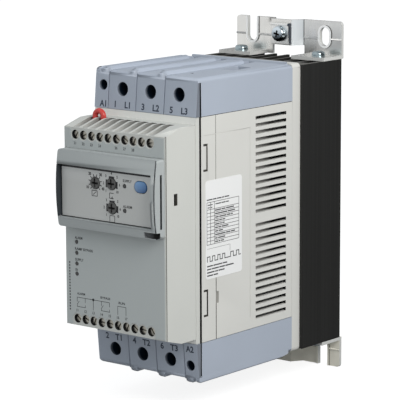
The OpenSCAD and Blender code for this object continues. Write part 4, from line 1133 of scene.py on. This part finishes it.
def wire_groove(face):
    """The floors and walls of the wire grooves on both shoulders."""
    beside = min(abs(face.center.x - x) for x in terminal_middles)
    shoulder = abs(face.center.z - (module_low.z + module_high.z) / 2) > shoulder_reach
    return beside < wire_groove_half and shoulder and face.center.y > module_low.y + 1.5 * mm


wire_shade = fading(
    "wire_groove_shade", backwards, module_low.y + 4 * mm, module_low.y + 19 * mm,
    (0.42, 0.42, 0.4), (0.16, 0.16, 0.15),
)
finish_faces(module_case, wire_shade, wire_groove)
finish_faces(module_case, groove_shade, corner_seam)
finish_faces(module_case, seam_shade, side_slot)
finish_faces(module_case, shadow, lambda face: in_holes(face, terminal_holes, module_low.y + 0.05 * mm))


# Control terminal screws: slotted steel screws with a brownish plating, one in each cage clamp.
# Each sits deep in its hole, whose walls are painted shadow, and is turned a little differently.
def slotted_screw(head, height, shank, length):
    """A slotted screw whose head fills z = -height to 0."""
    edge = 0.25 * mm
    slot_half = 0.45 * mm
    slot_depth = 0.9 * mm
    profile = [
        (0, 0.0), (head / 2 - edge, -0.05 * mm), (head / 2, -edge), (head / 2, -height), (shank / 2, -height),
        (shank / 2, -length), (0, -length),
    ]
    slot = bmesh.new()
    add_box(slot, (-head, -slot_half, -slot_depth), (head, slot_half, mm))
    return cut_away(turned(profile, 28), slot)


terminal_screw_head = 4.8 * mm
terminal_screw_height = 1.8 * mm
terminal_screw_shank = 2.6 * mm
terminal_plating = plated("brown_plated_screw", (0.36, 0.35, 0.31), 0.36)
for row_name, row_node, row_seed, row_z in zip(
    ("upper_terminal_screws", "lower_terminal_screws"), terminal_nodes, (3, 8), terminal_levels
):
    row_low, row_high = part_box(row_node)
    row_places = [((x, row_low.y, row_z), (0, -1, 0)) for x in terminal_middles]
    row_screw = slotted_screw(
        terminal_screw_head, terminal_screw_height, terminal_screw_shank, row_high.y - row_low.y
    )
    screw_piece(
        row_name, row_node, row_screw, row_places, terminal_plating, spread=1.2, seed=row_seed
    )

# Wire link: a short copper jumper in glossy red insulation.
# It is bent over the first two upper terminals and held by their clamps.
link_material, link_tree, link_shader = plain_finish("red_insulation", 0.0, 0.5)
link_cloud = surface_noise(link_tree, 300, 2)
link_reds = ((0.5, 0.035, 0.03), (0.62, 0.06, 0.05))
coat(link_tree, link_shader, link_cloud, link_reds, link_cloud, (0.24, 0.34))
shape_piece(
    "red_wire_link", solid_copy("wire_link"), link_material, ["wire_link"], angle=60
)

# Front films: grey plastic films glued above and below the raised cover, scalloped round the screws.
# Small smoky lenses of the status lights stand in holes of the lower one, and beside the dials.
film_grey = moulding("grey_film", (0.465, 0.495, 0.49), 0.42, grain=0.012, patch=0.02)
paint_nodes(film_grey, "upper_front_label", "lower_front_label")
lens = moulding("smoky_lens", (0.05, 0.05, 0.05), 0.2, grain=0.004)
paint_nodes(lens, "status_lights", "dial_lights_pair")

# Print on the front films: names beside the lights, plain contact symbols and numbers at the terminals.
# It is a thin dark layer, as screen printing is.
film_ink = ink("film_ink", (0.03, 0.032, 0.035))
film_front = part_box("lower_front_label")[0].y
film_print = bmesh.new()


def add_label(shape, words, height, left, z, y, length):
    """Words fitted between left and left + length."""
    mesh = flat_words(words, height, 1.0, 0.03)
    reach = [corner.co.x for corner in mesh.vertices]
    fit = length / (max(reach) - min(reach))
    place = Matrix.Translation((left + length / 2, y, z)) @ Matrix.Diagonal((fit, 1, 1, 1))
    mesh.transform(place @ Matrix.Translation((-(max(reach) + min(reach)) / 2, 0, 0)))
    shape.from_mesh(mesh)
    bpy.data.meshes.remove(mesh)


light_names_x = -29.9 * mm
light_name_height = 1.5 * mm
for z, words, length in (
    (85.75, "ALARM", 5.7), (79.35, "RAMP BYPASS", 13.5), (73.15, "SUPPLY", 6.4), (67.25, "ON", 1.9),
):
    add_label(film_print, words, light_name_height, light_names_x, z * mm, film_front, length * mm)
dash_x = -34.1 * mm
dash_foot = 43.2 * mm
dash_step = 1.7 * mm
dash_length = 0.62 * dash_step
dash_width = 0.8 * mm
dash_count = 17
for step in range(dash_count):
    start = dash_foot + step * dash_step
    add_bar(film_print, (dash_x, start), (dash_x, start + dash_length), dash_width, film_front)

row_high_z, row_low_z = terminal_levels
bus_z = row_low_z + 12.4 * mm
bracket_z = row_low_z + 11.3 * mm
contact_width = 0.3 * mm
contact_dot = 1.6 * mm
contact_name_height = 1.3 * mm
terminal_number_height = 1.5 * mm


def contact_line(start, end, level_z):
    """A line of a contact symbol; its ends are (terminal, aside in mm, down in mm) below a level."""
    ends = [(terminal_x(number) + aside * mm, level_z - down * mm) for number, aside, down in (start, end)]
    add_bar(film_print, *ends, contact_width, film_front)


contact_line((1, 0, 0), (5, 0, 0), bus_z)
add_dot(film_print, (terminal_x(3), film_front, bus_z), contact_dot)
for number in (1, 2, 4, 5):
    contact_line((number, 0, 0), (number, 0, 2.6), bus_z)
    contact_line((number, 0, 4.0), (number, 0, 5.6), bus_z)
for number in (1, 4):
    contact_line((number, 0, 4.0), (number, 1.5, 2.2), bus_z)
    contact_line((number, 0, 5.4), (number + 1, 0, 5.4), bus_z)
contact_line((3, 0, 0), (3, 0, 6.1), bus_z)
contact_line((6, 0, 0), (7, 0, 0), bracket_z)
for number in (6, 7):
    contact_line((number, 0, 0), (number, 0, 5.0), bracket_z)
for words, number, aside, z, length in (
    ("ALARM", 1, 0.0, bus_z + 2.3 * mm, 6.0), ("BYPASS", 4, -0.6, bus_z + 2.2 * mm, 7.3),
    ("RUN", 6, 0.7, bracket_z + 2.0 * mm, 4.7),
):
    left = terminal_x(number) + aside * mm
    add_label(film_print, words, contact_name_height, left, z, film_front, length * mm)
for numbers, tens, z in (
    ((1, 2, 3, 4, 5, 6, 7), 10, row_low_z + 4.8 * mm), ((1, 2, 3, 4, 6, 7, 8), 20, row_high_z - 4.9 * mm),
):
    for number in numbers:
        place = (terminal_x(number), film_front, z)
        add_words(film_print, str(tens + number), terminal_number_height, place, narrow=0.95, bold=0.03)
add_print("film_print", film_print, film_ink)

# Front cover: a grey moulding with a crowned front, clipped over the module.
# A channel runs through it and holds a dark carrier with the pale dial plate.
cover_grey = moulding("grey_moulding", (0.395, 0.42, 0.42), 0.46)
bezel_low, bezel_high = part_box("front_cover")
bezel_rounding = 0.3 * mm


def end_edge(edge):
    """The edges round both ends of the cover."""
    at_end = level(edge, 0, bezel_low.x) or level(edge, 0, bezel_high.x)
    return at_end and edge.calc_length() > 1.0 * mm


bezel = solid_piece(
    "raised_front_cover", "front_cover", cover_grey, [(bezel_rounding, 3, end_edge)]
)


def end_seam(face):
    """The groove that parts the cover's right end."""
    front = bezel_low.y - mm
    back = bezel_low.y + 2.5 * mm
    return sunk_in_side(face, bezel_high.x, front, back, deepest=1.02 * mm, shallowest=0.48 * mm)


def pry_notch(face):
    """The notch at the cover's lower right corner."""
    rise = face.center.z - bezel_low.z
    return (
        bezel_high.x - face.center.x < 9.1 * mm
        and 0.4 * mm < rise < 3.8 * mm
        and bezel_low.y + 1.2 * mm < face.center.y < bezel_low.y + 4.5 * mm
    )


# The groove at the cover's right end is painted dark, as its shade.
end_seam_painted_shade = shade("end_seam_painted_shade", (0.04, 0.045, 0.05))
finish_faces(bezel, end_seam_painted_shade, end_seam)
notch_shade = fading(
    "notch_shade", rightwards, bezel_high.x - 9 * mm, bezel_high.x - 4 * mm,
    (0.22, 0.225, 0.23), (0.01, 0.01, 0.01),
)
finish_faces(bezel, notch_shade, pry_notch)
carrier_slate = fading(
    "dark_slate", rightwards, bezel_high.x - 3 * mm, bezel_high.x - 1 * mm,
    (0.035, 0.042, 0.048), (0.009, 0.011, 0.013), rough=0.45, specular=0.3,
)
paint_nodes(carrier_slate, "dial_carrier")
plate_low, plate_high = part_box("dial_plate")
# The plate's film is lighter towards its top: painted light against the shade under the cover's lip.
film_painted_light = fading(
    "pale_grey_film", upwards, plate_high.z - 10 * mm, plate_high.z - 1 * mm,
    (0.535, 0.54, 0.525), (0.69, 0.695, 0.68), rough=0.4, specular=0.4,
)
paint_nodes(film_painted_light, "dial_plate")

# Print on the dial plate: ticks and numbers round the dials, plain symbols under them, names at the lights.
# It is the same screen printing as on the films, and carries a band of painted shadow along the plate's top.
plate_face = plate_low.y
plate_ink = ink("plate_ink", (0.018, 0.018, 0.02))
plate_print = bmesh.new()
dial_names = ("ramp_up_dial", "ramp_down_dial", "load_current_dial")
dial_middles = []
for dial_name in dial_names:
    dial_low, dial_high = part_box(dial_name)
    dial_middles.append(((dial_low.x + dial_high.x) / 2, (dial_low.z + dial_high.z) / 2))


def around(middle, angle, radius):
    """The (x, z) point at an angle, counted from the right and upwards, round a middle."""
    turn = math.radians(angle)
    return middle[0] + radius * math.cos(turn), middle[1] + radius * math.sin(turn)


def plate_line(middle, start, end, width):
    """A printed line; its ends are (aside, up) in mm from a point of the plate, its width is in mm."""
    ends = [(middle[0] + aside * mm, middle[1] + up * mm) for aside, up in (start, end)]
    add_bar(plate_print, *ends, width * mm, plate_face)


def plate_box(middle, left, low, right, high, width):
    """An empty printed box, in mm from a point of the plate."""
    for start, end in (
        ((left, low), (right, low)), ((left, high), (right, high)),
        ((left, low), (left, high)), ((right, low), (right, high)),
    ):
        plate_line(middle, start, end, width)


first, second, third = dial_middles
symbol_width = 0.38
tick_inside = 3.7 * mm
tick_outside = 5.0 * mm
tick_width = 0.5 * mm


def number_ring(middle, numbers, start, step, radius, height, narrow, bold):
    """Numbers set round a dial, a step of degrees apart and clockwise from a start."""
    for place, number in enumerate(numbers):
        x, z = around(middle, start - step * place, radius)
        add_words(plate_print, number, height, (x, plate_face, z), narrow, bold)


number_ring(
    first, ("10", "20", "30", "40"), start=205.5, step=77, radius=6.4 * mm, height=1.6 * mm, narrow=0.85,
    bold=0.06,
)
for step in range(10):
    tick = [around(first, 225 - 30 * step, radius) for radius in (tick_inside, tick_outside)]
    add_bar(plate_print, *tick, tick_width, plate_face)
for middle in (second, third):
    number_ring(
        middle, ("1", "2", "3", "4", "5", "6", "10"), start=225, step=45, radius=5.9 * mm, height=1.45 * mm,
        narrow=0.9, bold=0.04,
    )
    plate_line(middle, (-1.95, 3.6), (1.95, 3.6), 1.2)
    plate_line(middle, (-4.3, 0), (-3.1, 0), 4.4)
    plate_line(middle, (3.2, -0.45), (4.5, -0.45), 3.9)
plate_box(first, -2.45, -7.4, 1.45, -4.3, symbol_width)
plate_line(first, (-1.7, -6.8), (0.7, -4.9), symbol_width)
for start, end in (((-1.5, -5.2), (1.5, -5.2)), ((-1.5, -8.2), (1.5, -8.2)), ((-1.5, -5.2), (-1.5, -8.2))):
    plate_line(second, start, end, symbol_width)
plate_box(third, -1.8, -8.0, 1.8, -4.3, symbol_width)
side_border = 0.45
# Painted shadow of the cover's lip: a wide dark band along the plate's top.
lip_shadow_band = 1.55
inset = side_border / 2 * mm
plate_corner = (plate_low.x + inset, plate_low.z + inset)
plate_wide = (plate_high.x - plate_low.x - 2 * inset) / mm
plate_tall = (plate_high.z - plate_low.z - 2 * inset) / mm
plate_box(plate_corner, 0, 0, plate_wide, plate_tall, side_border)
lip_shadow_line = plate_high.z - lip_shadow_band / 2 * mm
add_bar(plate_print, (plate_low.x, lip_shadow_line), (plate_high.x, lip_shadow_line), lip_shadow_band * mm, plate_face)
plate_names_x = 10.2 * mm
plate_name_length = 6.5 * mm
for z, words in ((123.0, "SUPPLY"), (108.6, "ALARM")):
    add_label(plate_print, words, light_name_height, plate_names_x, z * mm, plate_face, plate_name_length)
add_print("plate_print", plate_print, plate_ink)

# Dials: dark grey turned mouldings with a cross slot, each on its switch's stem.
# The slot looks black, the rim is broken all round.
dial_grey = moulding("dial_grey", (0.085, 0.085, 0.083), 0.42, specular=0.35)
dial_slot = shade("dial_slot", (0.006, 0.006, 0.006))
dial_rounding = 0.35 * mm
for dial_name, (x, z) in zip(dial_names, dial_middles):
    dial_low, dial_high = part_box(dial_name)
    dial_rim = (dial_high.x - dial_low.x) / 2 - 0.1 * mm

    def rim_of_dial(edge):
        """The front edge round the dial."""
        away = [math.hypot(corner.co.x - x, corner.co.z - z) for corner in edge.verts]
        return level(edge, 1, dial_low.y) and min(away) > dial_rim

    dial_piece = solid_piece(
        dial_name + "_cap", dial_name, dial_grey, [(dial_rounding, 3, rim_of_dial)],
        body=dial_name,
    )
    finish_faces(
        dial_piece, dial_slot,
        lambda face: face.normal.y < -0.9 and 0.5 * mm < face.center.y - dial_low.y < 1.2 * mm,
    )

# Button: a satin blue oval moulding with a domed front.
# It slides in a hole of the carrier and is held by a flange behind it.
button_low, button_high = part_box("reset_button")
up_and_left = Vector((-0.6, 0, 0.8))
fade_middle = up_and_left.dot((button_low + button_high) / 2)
# Its colour goes from dark at the lower right to light at the upper left: painted light and shade of the
# dome.
button_painted_light = fading(
    "satin_blue_painted_light", up_and_left, fade_middle - 3.5 * mm, fade_middle + 3.5 * mm,
    (0.04, 0.125, 0.31), (0.165, 0.345, 0.61), rough=0.2, specular=0.6,
)
button_shape = solid_copy("reset_button")
button_face = min(button_shape.faces, key=lambda face: face.calc_center_median().y)
button_middle = button_face.calc_center_median()
button_drop = 0.9 * mm
button_ring = list(button_face.verts)
button_shape.faces.remove(button_face)
for corner in button_ring:
    corner.co.y += button_drop
dome_rings = [button_ring]
for part in (0.9, 0.76, 0.6, 0.4, 0.2):
    inner_ring = []
    for corner in button_ring:
        spot = button_middle + (corner.co - button_middle) * part
        spot.y = button_low.y + button_drop * part * part
        inner_ring.append(button_shape.verts.new(spot))
    dome_rings.append(inner_ring)
for outer, inner in zip(dome_rings, dome_rings[1:]):
    for place in range(len(outer)):
        following = (place + 1) % len(outer)
        button_shape.faces.new((outer[place], outer[following], inner[following], inner[place]))
button_shape.faces.new(dome_rings[-1])
bmesh.ops.recalc_face_normals(button_shape, faces=button_shape.faces)
button = shape_piece(
    "blue_push_button", button_shape, button_painted_light, ["reset_button"],
    body="reset_button", angle=60,
)
even_shading(button)
